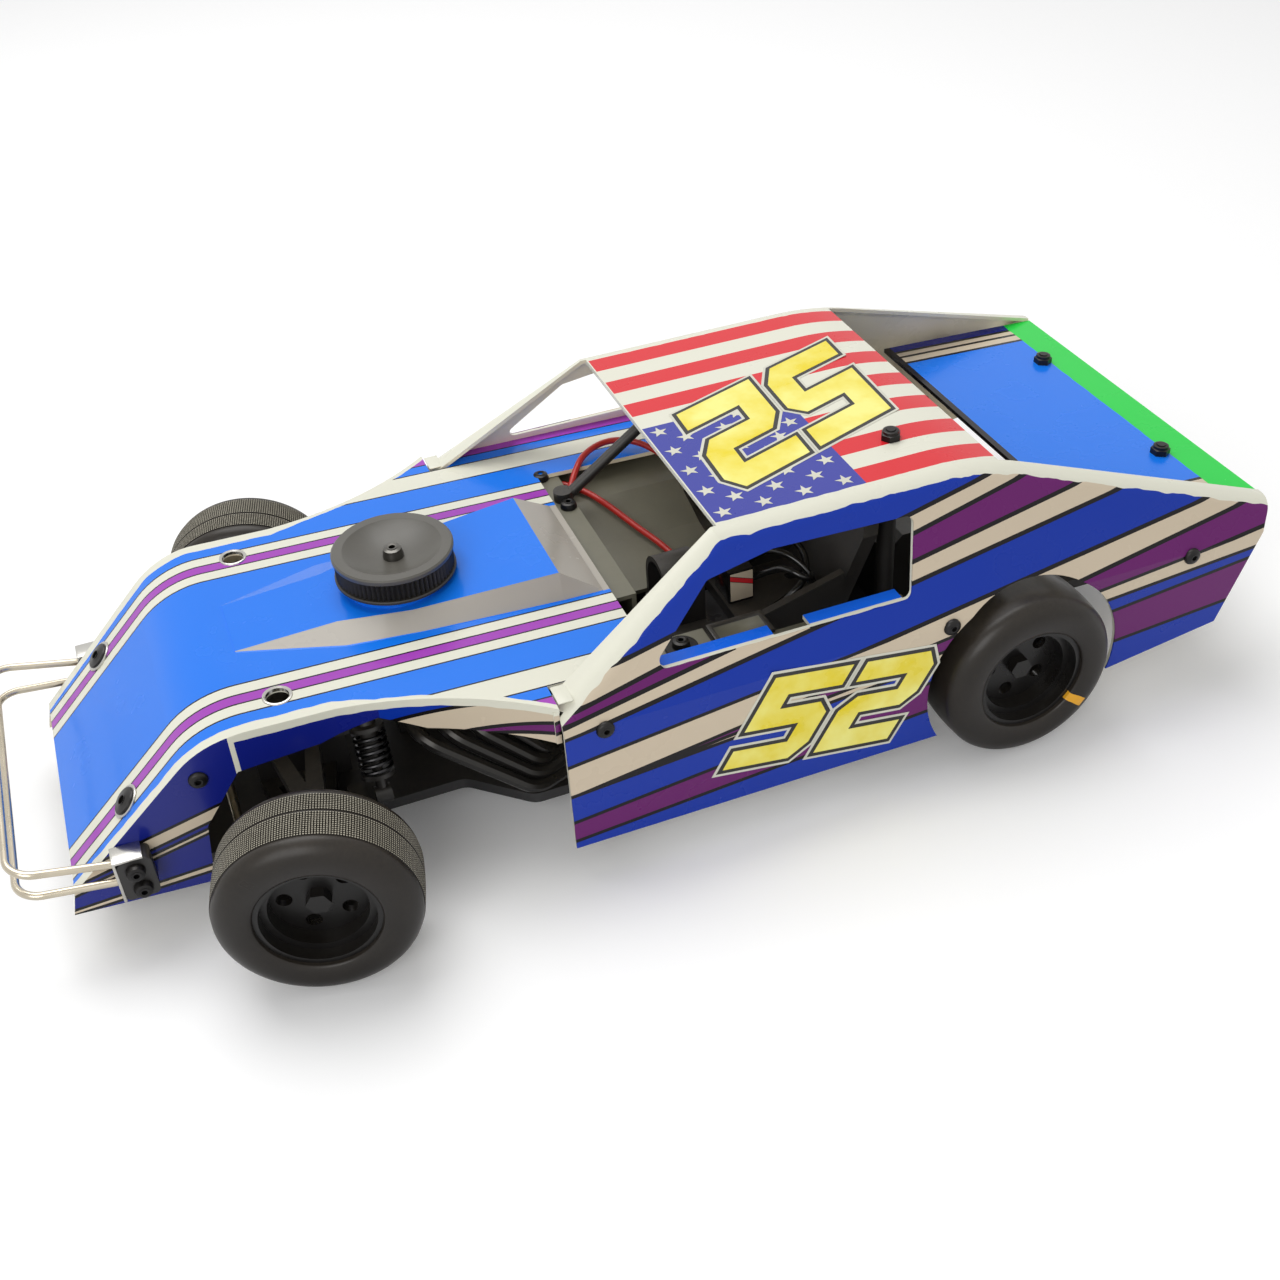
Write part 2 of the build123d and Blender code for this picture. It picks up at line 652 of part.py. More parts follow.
def rim_face():
    """Height of the rim's face above the wheel's middle plane."""
    return rim_edge() - RIM_DISH


def rim(y, outward):
    """Deep dished rim with a step, a drilled face, hub and wheel nut, its face outward."""
    edge, face = rim_edge(), rim_face()
    wall_r = RIM_R - RIM_WALL
    step_r = wall_r - RIM_STEP
    bore_r = AXLE_R + RUN_GAP
    back = face - RIM_FACE
    wheel = turned([
        (RIM_R, -edge), (RIM_R, edge), (wall_r, edge), (wall_r, edge - RIM_STEP_DEPTH),
        (step_r, edge - RIM_STEP_DEPTH), (step_r, face), (0, face), (0, face - BORE_STOP),
        (bore_r, face - BORE_STOP), (bore_r, face - HUB_LENGTH), (HUB_R, face - HUB_LENGTH), (HUB_R, back),
        (wall_r, back), (wall_r, -edge)])
    wheel += Pos(0, 0, face) * extrude(RegularPolygon(NUT_R, 6), NUT_T)
    wheel -= Pos(0, 0, back) * PolarLocations(RIM_HOLE_RING, RIM_HOLES) * Cylinder(RIM_HOLE_R, 4 * RIM_FACE)
    return Pos(0, y, 0) * Rot(-90 * outward, 0, 0) * wheel


def axle_end(y):
    """Half track of the tip of a stub axle, just short of the end of the hub's bore."""
    return y + rim_face() - BORE_STOP - AXLE_TIP_GAP


def steered(part, side):
    """A front corner piece turned about its kingpin to the rest position."""
    pin = Pos(FRONT_AXLE_X, side * KINGPIN_Y, 0)
    return pin * Rot(0, 0, STEER_AT_REST) * pin.inverse() * part


# Wheels: name, axle x, half track, side, steered or not
WHEELS = [("front_left", FRONT_AXLE_X, FRONT_WHEEL_Y, 1, True),
          ("front_right", FRONT_AXLE_X, FRONT_WHEEL_Y, -1, True),
          ("rear_left", REAR_AXLE_X, REAR_WHEEL_Y, 1, False),
          ("rear_right", REAR_AXLE_X, REAR_WHEEL_Y, -1, False)]


# Front suspension
def knuckle(side):
    """Upright between the arms with kingpin, stub axle and steering arm."""
    x, y = FRONT_AXLE_X, KINGPIN_Y
    body = upright(x, y, KNUCKLE_R, LOWER_ARM_Z + ARM_T + END_PLAY, UPPER_ARM_Z - END_PLAY)
    body += upright(x, y, PIN_R, LOWER_ARM_Z, UPPER_ARM_Z + ARM_T)
    body += rod((x, y, TYRE_R), (x, axle_end(FRONT_WHEEL_Y), TYRE_R), AXLE_R)
    low, high = TIE_Z - END_PLAY - STEER_ARM_T, TIE_Z - END_PLAY
    stud_x = x + STEER_ARM
    body += block((x, stud_x), (y - STEER_ARM_W / 2, y + STEER_ARM_W / 2), (low, high))
    body += upright(stud_x, y, STEER_ARM_W / 2, low, high)
    body += upright(stud_x, y, STUD_R, low, TIE_Z + TIE_T + STUD_TIP)
    return steered(on_side(body, side), side)


def front_arm(low_z, spread):
    """Flat left-hand wishbone from the bulkhead out to the kingpin."""
    x = FRONT_AXLE_X
    web = make_face(Polyline((x - spread, BULKHEAD_Y), (x + spread, BULKHEAD_Y), (x + ARM_TIP, KINGPIN_Y),
                             (x - ARM_TIP, KINGPIN_Y), close=True))
    inner_y = BULKHEAD_Y + ARM_BAR
    opening = make_face(Polyline((x - spread + ARM_BAR, inner_y), (x + spread - ARM_BAR, inner_y),
                                 (x, KINGPIN_Y - ARM_OPENING_END), close=True))
    arm = Pos(0, 0, low_z) * extrude(web - opening, ARM_T)
    arm += upright(x, KINGPIN_Y, PIN_BOSS_R, low_z, low_z + ARM_T)
    return arm - upright(x, KINGPIN_Y, PIN_R + RUN_GAP, 0, BEYOND)


def lower_arm():
    """Lower left wishbone with the ear that carries the shock's foot."""
    y, z = SHOCK_FOOT
    span = (y - SHOCK_EAR, y + SHOCK_EAR)
    ear = block((TOWER_FACE_X, FRONT_AXLE_X), span, (LOWER_ARM_Z, LOWER_ARM_Z + ARM_T))
    ear += block((TOWER_FACE_X, TOWER_FACE_X + TOWER_T), span, (LOWER_ARM_Z, z + SHOCK_EAR))
    return front_arm(LOWER_ARM_Z, LOWER_ARM_SPREAD) + ear


def front_bulkhead():
    """Block on the chassis that carries the arms, with the shock tower behind it."""
    x = FRONT_AXLE_X
    body = block((x - BULKHEAD_X, x + BULKHEAD_X), (-BULKHEAD_Y, BULKHEAD_Y), (FLOOR_Z, BULKHEAD_Z))
    half = [(BULKHEAD_Y, FLOOR_Z), (BULKHEAD_Y, BULKHEAD_Z), (TOWER_Y + TOWER_EAR, TOWER_Z - 2 * TOWER_EAR),
            (TOWER_Y + TOWER_EAR, TOWER_Z), (TOWER_Y - TOWER_EAR, TOWER_Z), (TOWER_NOTCH, BULKHEAD_Z + TOWER_EAR)]
    return body + prism_x(mirrored(half), TOWER_FACE_X, TOWER_FACE_X + TOWER_T)


def shock(face_x, foot, head):
    """Left coil-over damper hung on pins that stand out behind a face at face_x."""
    x = face_x - SHOCK_STAND
    start, end = Vector(x, *foot), Vector(x, *head)
    run = (end - start).length
    low, high = SPRING_FOOT, run - SPRING_HEAD
    pitch = (high - low) / SPRING_TURNS
    profile = [(0, 0), (DAMPER_ROD_R, 0), (DAMPER_ROD_R, low), (SPRING_CORE_R, low)]
    for turn in range(SPRING_TURNS):
        profile += [(SPRING_R, low + pitch * (turn + 0.5)), (SPRING_CORE_R, low + pitch * (turn + 1))]
    profile += [(DAMPER_BODY_R, high), (DAMPER_BODY_R, run), (0, run)]
    unit = Plane(origin=start, x_dir=(1, 0, 0), z_dir=end - start) * turned(profile)
    for y, z in (foot, head):
        unit += rod((face_x, y, z), (x - SHOCK_PIN_TIP, y, z), SHOCK_EYE_R)
    return unit


def tie_rod():
    """Link between the steering arms; its slotted eyes ride on the studs."""
    turn = radians(STEER_AT_REST)
    sweep_x = STEER_ARM * (1 - cos(radians(STEER_LOCK)))
    x = FRONT_AXLE_X + STEER_ARM - sweep_x / 2
    shift_y = STEER_ARM * sin(turn)
    slot_r = STUD_R + STUD_PLAY
    link = Part()
    for side in (-1, 1):
        slot_run = sweep_x + 2 * STUD_PLAY
        eye = extrude(SlotCenterToCenter(slot_run, 2 * (slot_r + TIE_EYE_WALL)), TIE_T)
        eye -= extrude(SlotCenterToCenter(slot_run, 2 * slot_r), TIE_T)
        link += Pos(x, side * KINGPIN_Y + shift_y, TIE_Z) * eye
    reach = KINGPIN_Y - slot_r - TIE_EYE_WALL / 2
    z = TIE_Z + TIE_T / 2
    return link + rod((x, -reach + shift_y, z), (x, reach + shift_y, z), TIE_R)


# Rear axle
def rear_axle():
    """Gearbox with axle tubes, stub shafts and the rear shock tower."""
    x = REAR_AXLE_X
    body = block((x - GEARBOX_X, x + GEARBOX_X), (-GEARBOX_Y, GEARBOX_Y), (FLOOR_Z, GEARBOX_TOP))
    body = chamfer(body.edges().filter_by(Axis.Y).group_by(Axis.Z)[-1], GEARBOX_EDGE)
    body += rod((x, -TUBE_END_Y, TYRE_R), (x, TUBE_END_Y, TYRE_R), TUBE_R)
    tip = axle_end(REAR_WHEEL_Y)
    body += rod((x, -tip, TYRE_R), (x, tip, TYRE_R), AXLE_R)
    half = [(GEARBOX_Y, FLOOR_Z)] + [(y, TYRE_R + rise) for y, rise in REAR_TOWER]
    body += prism_x(mirrored(half), REAR_TOWER_FACE_X, REAR_TOWER_FACE_X + REAR_TOWER_T)
    for side in (-1, 1):
        ear_y = sorted((side * (REAR_SHOCK_Y - SHOCK_EAR), side * (REAR_SHOCK_Y + SHOCK_EAR)))
        body += block((REAR_TOWER_FACE_X, x), ear_y, (REAR_SHOCK_LOW - SHOCK_EAR, REAR_SHOCK_LOW + SHOCK_EAR))
    return body


def trailing_link():
    """Lower left link from a foot on the chassis back to a clamp on the axle tube."""
    front_z = FLOOR_Z + LINK_FRONT_RISE
    body = rod((LINK_FRONT_X, LINK_Y, front_z), (REAR_AXLE_X + TUBE_R, LINK_Y, TYRE_R), LINK_R)
    body += block((LINK_FRONT_X - LINK_FOOT, LINK_FRONT_X + LINK_FOOT), (LINK_Y - LINK_FOOT, LINK_Y + LINK_FOOT),
                  (FLOOR_Z, front_z + LINK_FOOT))
    body += rod((REAR_AXLE_X, LINK_Y - CLAMP_W / 2, TYRE_R), (REAR_AXLE_X, LINK_Y + CLAMP_W / 2, TYRE_R),
                TUBE_R + CLAMP_WALL)
    return body - rod((REAR_AXLE_X, 0, TYRE_R), (REAR_AXLE_X, BEYOND, TYRE_R), TUBE_R + SEAT_GAP)


# Chassis plate and what it carries
def chassis_plate():
    """Flat plate, narrower between the front wheels and at the tail."""
    front_x, rear_x = PLATE_WIDE_X
    half = [(PLATE_NOSE_X, PLATE_NOSE_Y), (front_x + PLATE_SLANT, PLATE_NOSE_Y), (front_x, PLATE_MID_Y),
            (rear_x, PLATE_MID_Y), (rear_x - PLATE_SLANT, PLATE_TAIL_Y), (PLATE_TAIL_X, PLATE_TAIL_Y)]
    outline = make_face(Polyline(*half, *[(x, -y) for x, y in reversed(half)], close=True))
    return Pos(0, 0, PLATE_Z) * extrude(fillet(outline.vertices(), PLATE_CORNER_R), PLATE_T)


def motor():
    """Round motor can lying across the car, with its shaft boss."""
    boss_r, boss_t = MOTOR_BOSS
    can = turned([(0, 0), (MOTOR_R - MOTOR_EDGE, 0), (MOTOR_R, MOTOR_EDGE), (MOTOR_R, MOTOR_LENGTH - MOTOR_EDGE),
                  (MOTOR_R - MOTOR_EDGE, MOTOR_LENGTH), (boss_r, MOTOR_LENGTH), (boss_r, MOTOR_LENGTH + boss_t),
                  (0, MOTOR_LENGTH + boss_t)])
    return Pos(MOTOR_X, MOTOR_Y, MOTOR_Z) * Rot(90, 0, 0) * can


def motor_mount():
    """Upright plate between the gearbox and the motor's face."""
    return block((REAR_AXLE_X + GEARBOX_X, MOTOR_X + MOTOR_R + MOUNT_LAP), (MOTOR_Y, MOTOR_Y + MOUNT_T),
                 (FLOOR_Z, MOTOR_Z + MOUNT_RISE))


def battery():
    """Soft-cornered battery brick on the chassis."""
    brick = block(BATTERY_X, BATTERY_Y, (FLOOR_Z, BATTERY_TOP))
    return fillet(brick.edges().filter_by(Axis.X), BATTERY_EDGE)


def battery_strap():
    """Band over the battery with its spare length stood up in a loop."""
    low_y, high_y = BATTERY_Y[0] - LAY_GAP, BATTERY_Y[1] + LAY_GAP
    top = BATTERY_TOP + LAY_GAP
    band = block(STRAP_X, (low_y - STRAP_T, high_y + STRAP_T), (FLOOR_Z, top + STRAP_T))
    band -= block(STRAP_X, (low_y, high_y), (FLOOR_Z, top))
    y, z = STRAP_LOOP
    ring = rod((STRAP_X[0], y, z), (STRAP_X[1], y, z), STRAP_LOOP_R)
    ring += block(STRAP_X, (y - STRAP_LOOP_R, y + STRAP_LOOP_R), (top, z))
    inner_r = STRAP_LOOP_R - STRAP_T
    ring -= rod((STRAP_X[0], y, z), (STRAP_X[1], y, z), inner_r)
    ring -= block(STRAP_X, (y - inner_r, y + inner_r), (top, z))
    return band + ring


def speed_control():
    """Small box with a finned top."""
    top = FLOOR_Z + CONTROL_H
    body = block(CONTROL_X, CONTROL_Y, (FLOOR_Z, top))
    fin_y = (CONTROL_Y[0] + FIN_T, CONTROL_Y[1] - FIN_T)
    for index in range(FIN_COUNT):
        low = CONTROL_X[0] + FIN_T + FIN_PITCH * index
        body += block((low, low + FIN_T), fin_y, (top, top + FIN_H))
    return body


def servo():
    """Steering servo on the chassis behind the front bulkhead."""
    width = (-SERVO_Y, SERVO_Y)
    top = FLOOR_Z + SERVO_H
    body = block(SERVO_X, width, (FLOOR_Z, top))
    body += block((SERVO_X[0] - SERVO_EAR, SERVO_X[1] + SERVO_EAR), width, [FLOOR_Z + z for z in SERVO_EAR_Z])
    horn_x, horn_r, horn_t = SERVO_HORN
    return body + upright(horn_x, 0, horn_r, top, top + horn_t)


def headers():
    """Left bank of four pipes that sweep out, down and back into a collector by the door."""
    wall = (HEADER_Y, HEADER_Y + HEADER_T)
    part = block(HEADER_X, wall, HEADER_Z)
    part += block((HEADER_X[0], HEADER_X[0] + HEADER_FOOT), wall, (FLOOR_Z, HEADER_Z[0]))
    centre_y, centre_z = COLLECTOR
    part += rod((COLLECTOR_X[0], centre_y, centre_z), (COLLECTOR_X[1], centre_y, centre_z), COLLECTOR_R)
    root_z = sum(HEADER_Z) / 2
    for index in range(PIPE_COUNT):
        root = (HEADER_X[1] - PIPE_R - 0.5 - PIPE_PITCH * index, sum(wall) / 2, root_z)
        shoulder, elbow = [tuple(place + index * step for place, step in zip(*turn))
                           for turn in (PIPE_SHOULDER, PIPE_ELBOW)]
        angle = pi / 4 + pi / 2 * index
        mouth_r = COLLECTOR_R - PIPE_R - 0.4
        mouth = (sum(COLLECTOR_X) / 2, centre_y + mouth_r * sin(angle), centre_z - mouth_r * cos(angle))
        path = FilletPolyline(root, shoulder, elbow, mouth, radius=PIPE_BEND_R)
        part += tube(path, RegularPolygon(PIPE_R, PIPE_SIDES))
    return part


# Interior
def shelf_z():
    """Top of the shelf under the hood's rear edge."""
    return hood_z(TRAY_FRONT_X - SHEET) - SHEET - LAY_GAP


def interior_tray():
    """Folded sheet from the firewall over a shelf and down to the cockpit floor."""
    floor = TRAY_LEVELS + [(y, z - SHEET) for y, z in reversed(TRAY_LEVELS)]
    tray = prism_x(floor, TRAY_REAR_X, TRAY_FRONT_X) & cabin_solid(SHEET)
    top = shelf_z()
    tray += block((TRAY_FRONT_X - SHEET, TRAY_FRONT_X), SHELF_Y, (TRAY_LEVELS[-1][1] - SHEET, top))
    tray += block((TRAY_FRONT_X - SHEET, FIREWALL_X), SHELF_Y, (top - SHEET, top))
    tray += block((FIREWALL_X - SHEET, FIREWALL_X), (-FIREWALL_Y, FIREWALL_Y), (FLOOR_Z, top))
    return tray


def left_ledge():
    """Folded sheet ledge along the left sill, wider at its front end."""
    ledge = block((LEDGE_END_X, LEDGE_FRONT_X), (LEDGE_Y, DOOR_Y), (LEDGE_Z, LEDGE_Z + SHEET))
    ledge += block((LEDGE_PLATE_X, LEDGE_FRONT_X), (LEDGE_PLATE_Y, DOOR_Y), (LEDGE_Z, LEDGE_Z + SHEET))
    ledge += block((LEDGE_END_X, LEDGE_FRONT_X), (LEDGE_Y, LEDGE_Y + SHEET), (LEDGE_Z - LEDGE_DROP, LEDGE_Z + SHEET))
    return ledge & cabin_solid(SHEET)


def roof_post():
    """Left round post from the chassis up to the roof screw."""
    return upright(*ROOF_SCREW, POST_R, FLOOR_Z, ROOF_Z - SHEET - LAY_GAP)


def cage_brace():
    """Slanted bar from a ball end on the shelf up to the roof."""
    low, high = shelf_z(), ROOF_Z - SHEET - LAY_GAP
    bar = rod((*BRACE_FOOT, low), (*BRACE_HEAD, high), BRACE_R)
    ball_r, ball_h = BRACE_BALL
    bar += upright(*BRACE_FOOT, ball_r, low, low + ball_h)
    return bar & block((-BEYOND, BEYOND), (-BEYOND, BEYOND), (low, high))


def seat():
    """Bucket seat on the left of the cockpit, standing on the battery."""
    low = BATTERY_TOP + RUN_GAP
    rear_x, front_x = SEAT_X
    lean = [(rear_x + SEAT_BACK_T, low), (rear_x + SEAT_BACK_T - SEAT_LEAN, SEAT_TOP_Z),
            (rear_x - SEAT_LEAN, SEAT_TOP_Z), (rear_x, low)]
    half = [(SEAT_HALF, low), (SEAT_HALF, SEAT_TOP_Z - SEAT_HEAD_DROP), (SEAT_HEAD_Y, SEAT_TOP_Z)]
    back = prism_y(lean) & prism_x(mirrored(half), -BEYOND, BEYOND)
    body = back + block((rear_x, front_x), (-SEAT_HALF, SEAT_HALF), (low, low + SEAT_PAN_T))
    front_z, rear_z = SEAT_WING_Z
    wing = [(rear_x, low), (front_x, low), (front_x, front_z), (rear_x, rear_z)]
    outer_y = SEAT_HALF + SEAT_WING_T
    body += prism_y(wing, outer_y) - prism_y(wing, SEAT_HALF)
    return Pos(0, SEAT_Y, 0) * body


def lead(points):
    """Insulated wire on straight runs joined by arcs as large as the runs allow."""
    spots = [Vector(*point) for point in points]
    radii = []
    for before, here, after in zip(spots, spots[1:], spots[2:]):
        into, out = here - before, after - here
        half_turn = radians(into.get_angle(out)) / 2
        radii.append(0.45 * min(into.length, out.length) / tan(half_turn))
    path = FilletPolyline(*points, radius=radii)
    return tube(path, RegularPolygon(LEAD_R, LEAD_SIDES))


# Bumpers and brackets
def front_bumper():
    """Two bent wires that leave the brackets and cross ahead of the nose."""
    front_x = BUMPER_REACH - BAR_R
    start_x = BRACKET_X[1] + LAY_GAP
    start_y = nose_side_y(start_x) + BRACKET_T / 2
    wires = Part()
    for bracket_z, front_z, front_y in BARS:
        path = FilletPolyline((start_x, start_y, bracket_z), (front_x, front_y, front_z),
                              (front_x, -front_y, front_z), (start_x, -start_y, bracket_z), radius=BAR_BEND_R)
        wires += tube(path, Circle(BAR_R))
    return wires


def bumper_bracket():
    """Block screwed to the left of the nose that takes the two wires."""
    low_y = nose_side_y(BRACKET_X[0])
    body = block(BRACKET_X, (low_y, low_y + BRACKET_T), BRACKET_Z)
    return fillet(body.edges().filter_by(Axis.Y), BRACKET_EDGE)


def nose_brace():
    """Cross plate under the nose screws on two legs from the chassis."""
    (lip_x, lip_z), (bend_x, bend_z) = NOSE_LIP, NOSE_BEND
    along = Vector(bend_x - lip_x, 0, bend_z - lip_z).normalized()
    out = Vector(along.Z, 0, -along.X)
    screw_x, screw_y, screw_z = NOSE_SCREW
    half, thick = BRACE_PLATE
    top = Vector(screw_x, 0, screw_z) - out * (SHEET + LAY_GAP)
    low = top - out * thick
    corners = [top + along * half, top - along * half, low - along * half, low + along * half]
    plate = prism_y([(c.X, c.Z) for c in corners], screw_y + half)
    for side in (-1, 1):
        plate += block(BRACE_LEG_X, sorted(side * y for y in BRACE_LEG_Y), (FLOOR_Z, BRACE_LEG_Z))
    return plate


def rear_body_posts():
    """Bracket on the chassis tail with two posts under the deck nuts."""
    x, y = DECK_NUT
    low, high = [FLOOR_Z + rise for rise in TAIL_BAR_RISE]
    foot_x, foot_y = TAIL_FOOT
    body = block((x - TAIL_BAR, x + TAIL_BAR), (-y - TAIL_BAR, y + TAIL_BAR), (low, high))
    body += block((PLATE_TAIL_X, PLATE_TAIL_X + foot_x), (-foot_y, foot_y), (FLOOR_Z, high))
    for side in (-1, 1):
        body += upright(x, side * y, TAIL_POST_R, low, deck_z(x - TAIL_POST_R) - SHEET - LAY_GAP)
    return body


def wheel_pieces():
    """Tyre and rim of every wheel, the front pair turned to the rest position."""
    pieces = {}
    for name, x, y, side, turns in WHEELS:
        spot = Pos(x, 0, TYRE_R)
        for kind, piece in (("tyre", tyre(side * y)), ("rim", rim(side * y, side))):
            pieces[f"{kind}_{name}"] = steered(spot * piece, side) if turns else spot * piece
    return pieces


def paired_pieces():
    """Pieces drawn on the left and mirrored to the right, and the two knuckles."""
    front_head = (TOWER_Y, TOWER_Z - TOWER_EAR)
    rear_foot, rear_head = (REAR_SHOCK_Y, REAR_SHOCK_LOW), (REAR_SHOCK_Y, REAR_SHOCK_HIGH)
    drawn = {
        "front_lower_arm": lower_arm(),
        "front_upper_arm": front_arm(UPPER_ARM_Z, UPPER_ARM_SPREAD),
        "front_shock": shock(TOWER_FACE_X, SHOCK_FOOT, front_head),
        "rear_shock": shock(REAR_TOWER_FACE_X, rear_foot, rear_head),
        "trailing_link": trailing_link(),
        "headers": headers(),
        "bumper_bracket": bumper_bracket(),
        "roof_post": roof_post(),
    }
    pieces = {}
    for word, side in (("left", 1), ("right", -1)):
        pieces[f"knuckle_{word}"] = knuckle(side)
        for name, part in drawn.items():
            pieces[f"{name}_{word}"] = on_side(part, side)
    return pieces


def single_pieces():
    """Everything that the car has once."""
    return {
        "nose_hood": nose_hood(), "air_cleaner": air_cleaner(), "rear_deck": rear_deck(),
        "tie_rod": tie_rod(), "front_bulkhead": front_bulkhead(), "rear_axle": rear_axle(),
        "chassis_plate": chassis_plate(), "motor": motor(), "motor_mount": motor_mount(),
        "battery": battery(), "battery_strap": battery_strap(), "speed_control": speed_control(),
        "servo": servo(), "interior_tray": interior_tray(), "left_ledge": left_ledge(),
        "cage_brace": cage_brace(), "seat": seat(), "motor_lead": lead(MOTOR_LEAD),
        "battery_lead": lead(BATTERY_LEAD), "nose_brace": nose_brace(), "front_bumper": front_bumper(),
        "rear_body_posts": rear_body_posts(),
    }


def main():
    os.makedirs("parts", exist_ok=True)
    middle = Pos((TAIL_REACH - BUMPER_REACH) / 2, 0, 0)
    for pieces in (cabin_panels(), wheel_pieces(), paired_pieces(), single_pieces()):
        for name, part in pieces.items():
            export_step(middle * part, f"parts/{name}.step")


main()
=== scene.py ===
# %% [markdown]
# # A radio-controlled dirt racer, dressed over its CAD frame
# The real thing is a small model of a dirt-track racing car: thin plastic sheet folded into nose, doors and
# roof, with printed film on its flats, over a black chassis with foam-filled tyres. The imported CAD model
# has each solid in its place, so this lesson adds films, numbers, tread, springs, wires and screws, and
# moves no solid.

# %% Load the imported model
import json
from functools import partialmethod
from math import cos, hypot, pi, radians, sin
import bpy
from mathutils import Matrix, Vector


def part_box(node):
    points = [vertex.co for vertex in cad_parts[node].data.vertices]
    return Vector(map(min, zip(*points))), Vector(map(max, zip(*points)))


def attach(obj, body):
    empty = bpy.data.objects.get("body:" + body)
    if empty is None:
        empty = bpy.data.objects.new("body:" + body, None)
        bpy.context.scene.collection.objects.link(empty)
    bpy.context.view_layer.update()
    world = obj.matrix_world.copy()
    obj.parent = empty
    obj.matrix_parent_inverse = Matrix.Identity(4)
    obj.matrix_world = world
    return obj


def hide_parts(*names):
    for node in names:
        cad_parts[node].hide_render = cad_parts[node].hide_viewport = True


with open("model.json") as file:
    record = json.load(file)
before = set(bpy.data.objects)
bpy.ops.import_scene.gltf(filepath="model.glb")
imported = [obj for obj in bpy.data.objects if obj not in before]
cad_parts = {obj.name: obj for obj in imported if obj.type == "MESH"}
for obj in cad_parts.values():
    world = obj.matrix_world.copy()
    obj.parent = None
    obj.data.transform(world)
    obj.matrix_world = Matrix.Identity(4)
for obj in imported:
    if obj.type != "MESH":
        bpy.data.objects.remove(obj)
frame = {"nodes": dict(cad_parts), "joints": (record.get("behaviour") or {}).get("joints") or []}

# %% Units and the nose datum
from types import SimpleNamespace

import bpy
from mathutils import Matrix, Vector

MM = 0.001
DATUM_X = 78.0
SIDES = (("left", 1), ("right", -1))
scene = bpy.context.scene
nodes = frame["nodes"]
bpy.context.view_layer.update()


def at(x, y, z):
    """A place in millimetres from the nose datum, given back in the frame's metres."""
    return Vector((x + DATUM_X, y, z)) * MM


# %% [markdown]
# ## Camera
# The photograph looks down on the car's left front corner. A camera can be aimed by a target or by angles.
# Angles are used here, because the photograph is also rolled a little, which a target can't say.

# %% Camera at the photograph's angle
PHOTO_SIDE = 1280
FOCAL_PIXELS = 1578.8
LOOK_TURN, LOOK_DOWN, LOOK_ROLL = radians(-108.69), radians(-37.87), radians(-4.01)
CAMERA_PLACE = at(8.35, 272.7, 237.4)

lens = bpy.data.cameras.new("photo_camera")
lens.sensor_width = 36.0
lens.lens = FOCAL_PIXELS / PHOTO_SIDE * lens.sensor_width
lens.clip_start = 10 * MM
camera = bpy.data.objects.new("photo_camera", lens)
scene.collection.objects.link(camera)
swing = Matrix.Rotation(LOOK_TURN - pi / 2, 4, "Z")
tilt = Matrix.Rotation(LOOK_DOWN + pi / 2, 4, "X")
roll = Matrix.Rotation(LOOK_ROLL, 4, "Z")
camera.matrix_world = Matrix.Translation(CAMERA_PLACE) @ swing @ tilt @ roll
scene.camera = camera
print("lens", round(lens.lens, 1), "mm")

# %% [markdown]
# ## Shader helpers
# Every finish is a small tree of nodes, and a few helpers keep the trees short. A number in a tree is
# wrapped, so that it can be added, scaled and compared as in plain arithmetic, and the Math nodes are made
# behind it. Printed colours are written as screen values and turned into a shader's linear colours.

# %% Nodes and numbers in a shader tree
def ink(red, green, blue):
    """A colour in screen values, 0 to 255, as the linear colour of a shader."""
    shares = [c / 255 for c in (red, green, blue)]
    return tuple(s / 12.92 if s < 0.04 else ((s + 0.055) / 1.055) ** 2.4 for s in shares) + (1.0,)


def put(tree, kind, options=(), feeds=()):
    """Add a shader node, set its options and feed its sockets with constants or with values of the tree."""
    node = tree.nodes.new(kind)
    for option, value in dict(options).items():
        setattr(node, option, value)
    for socket, value in dict(feeds).items():
        if isinstance(value, Value):
            wire(value, node.inputs[socket])
        else:
            node.inputs[socket].default_value = value
    return node


def read(tree, kind, output=0, options=(), feeds=()):
    """Add a shader node and give back one of its outputs as a value."""
    return Value(tree, put(tree, kind, options, feeds).outputs[output])


def wire(value, socket):
    value.tree.links.new(value.socket, socket)


def paint(shader, colour):
    wire(colour, shader.inputs["Base Color"])


class Value:
    """A value in a shader tree. Sums and comparisons with it add Math nodes; & is both and | is either."""

    def __init__(self, tree, socket):
        self.tree, self.socket = tree, socket

    def calc(self, operation, *terms):
        feeds = dict(enumerate((self,) + terms))
        return read(self.tree, "ShaderNodeMath", 0, {"operation": operation}, feeds)

    def ranged(self, *limits):
        """Map the value from one range to another, or to 0 and 1."""
        return read(self.tree, "ShaderNodeMapRange", feeds=dict(enumerate((self,) + limits)))

    __add__, __sub__ = partialmethod(calc, "ADD"), partialmethod(calc, "SUBTRACT")
    __mul__, __truediv__ = partialmethod(calc, "MULTIPLY"), partialmethod(calc, "DIVIDE")
    __gt__, __lt__ = partialmethod(calc, "GREATER_THAN"), partialmethod(calc, "LESS_THAN")
    __and__, __or__ = partialmethod(calc, "MULTIPLY"), partialmethod(calc, "MAXIMUM")


def mix(mask, under, over):
    """One colour over another where a mask is 1."""
    return read(mask.tree, "ShaderNodeMix", 2, {"data_type": "RGBA"}, {0: mask, 6: under, 7: over})


def split(vector):
    parts = put(vector.tree, "ShaderNodeSeparateXYZ", feeds={0: vector}).outputs
    return [Value(vector.tree, part) for part in parts]


print("shader values ready")

# %% Materials and node groups
NUMBER, COLOUR = "NodeSocketFloat", "NodeSocketColor"


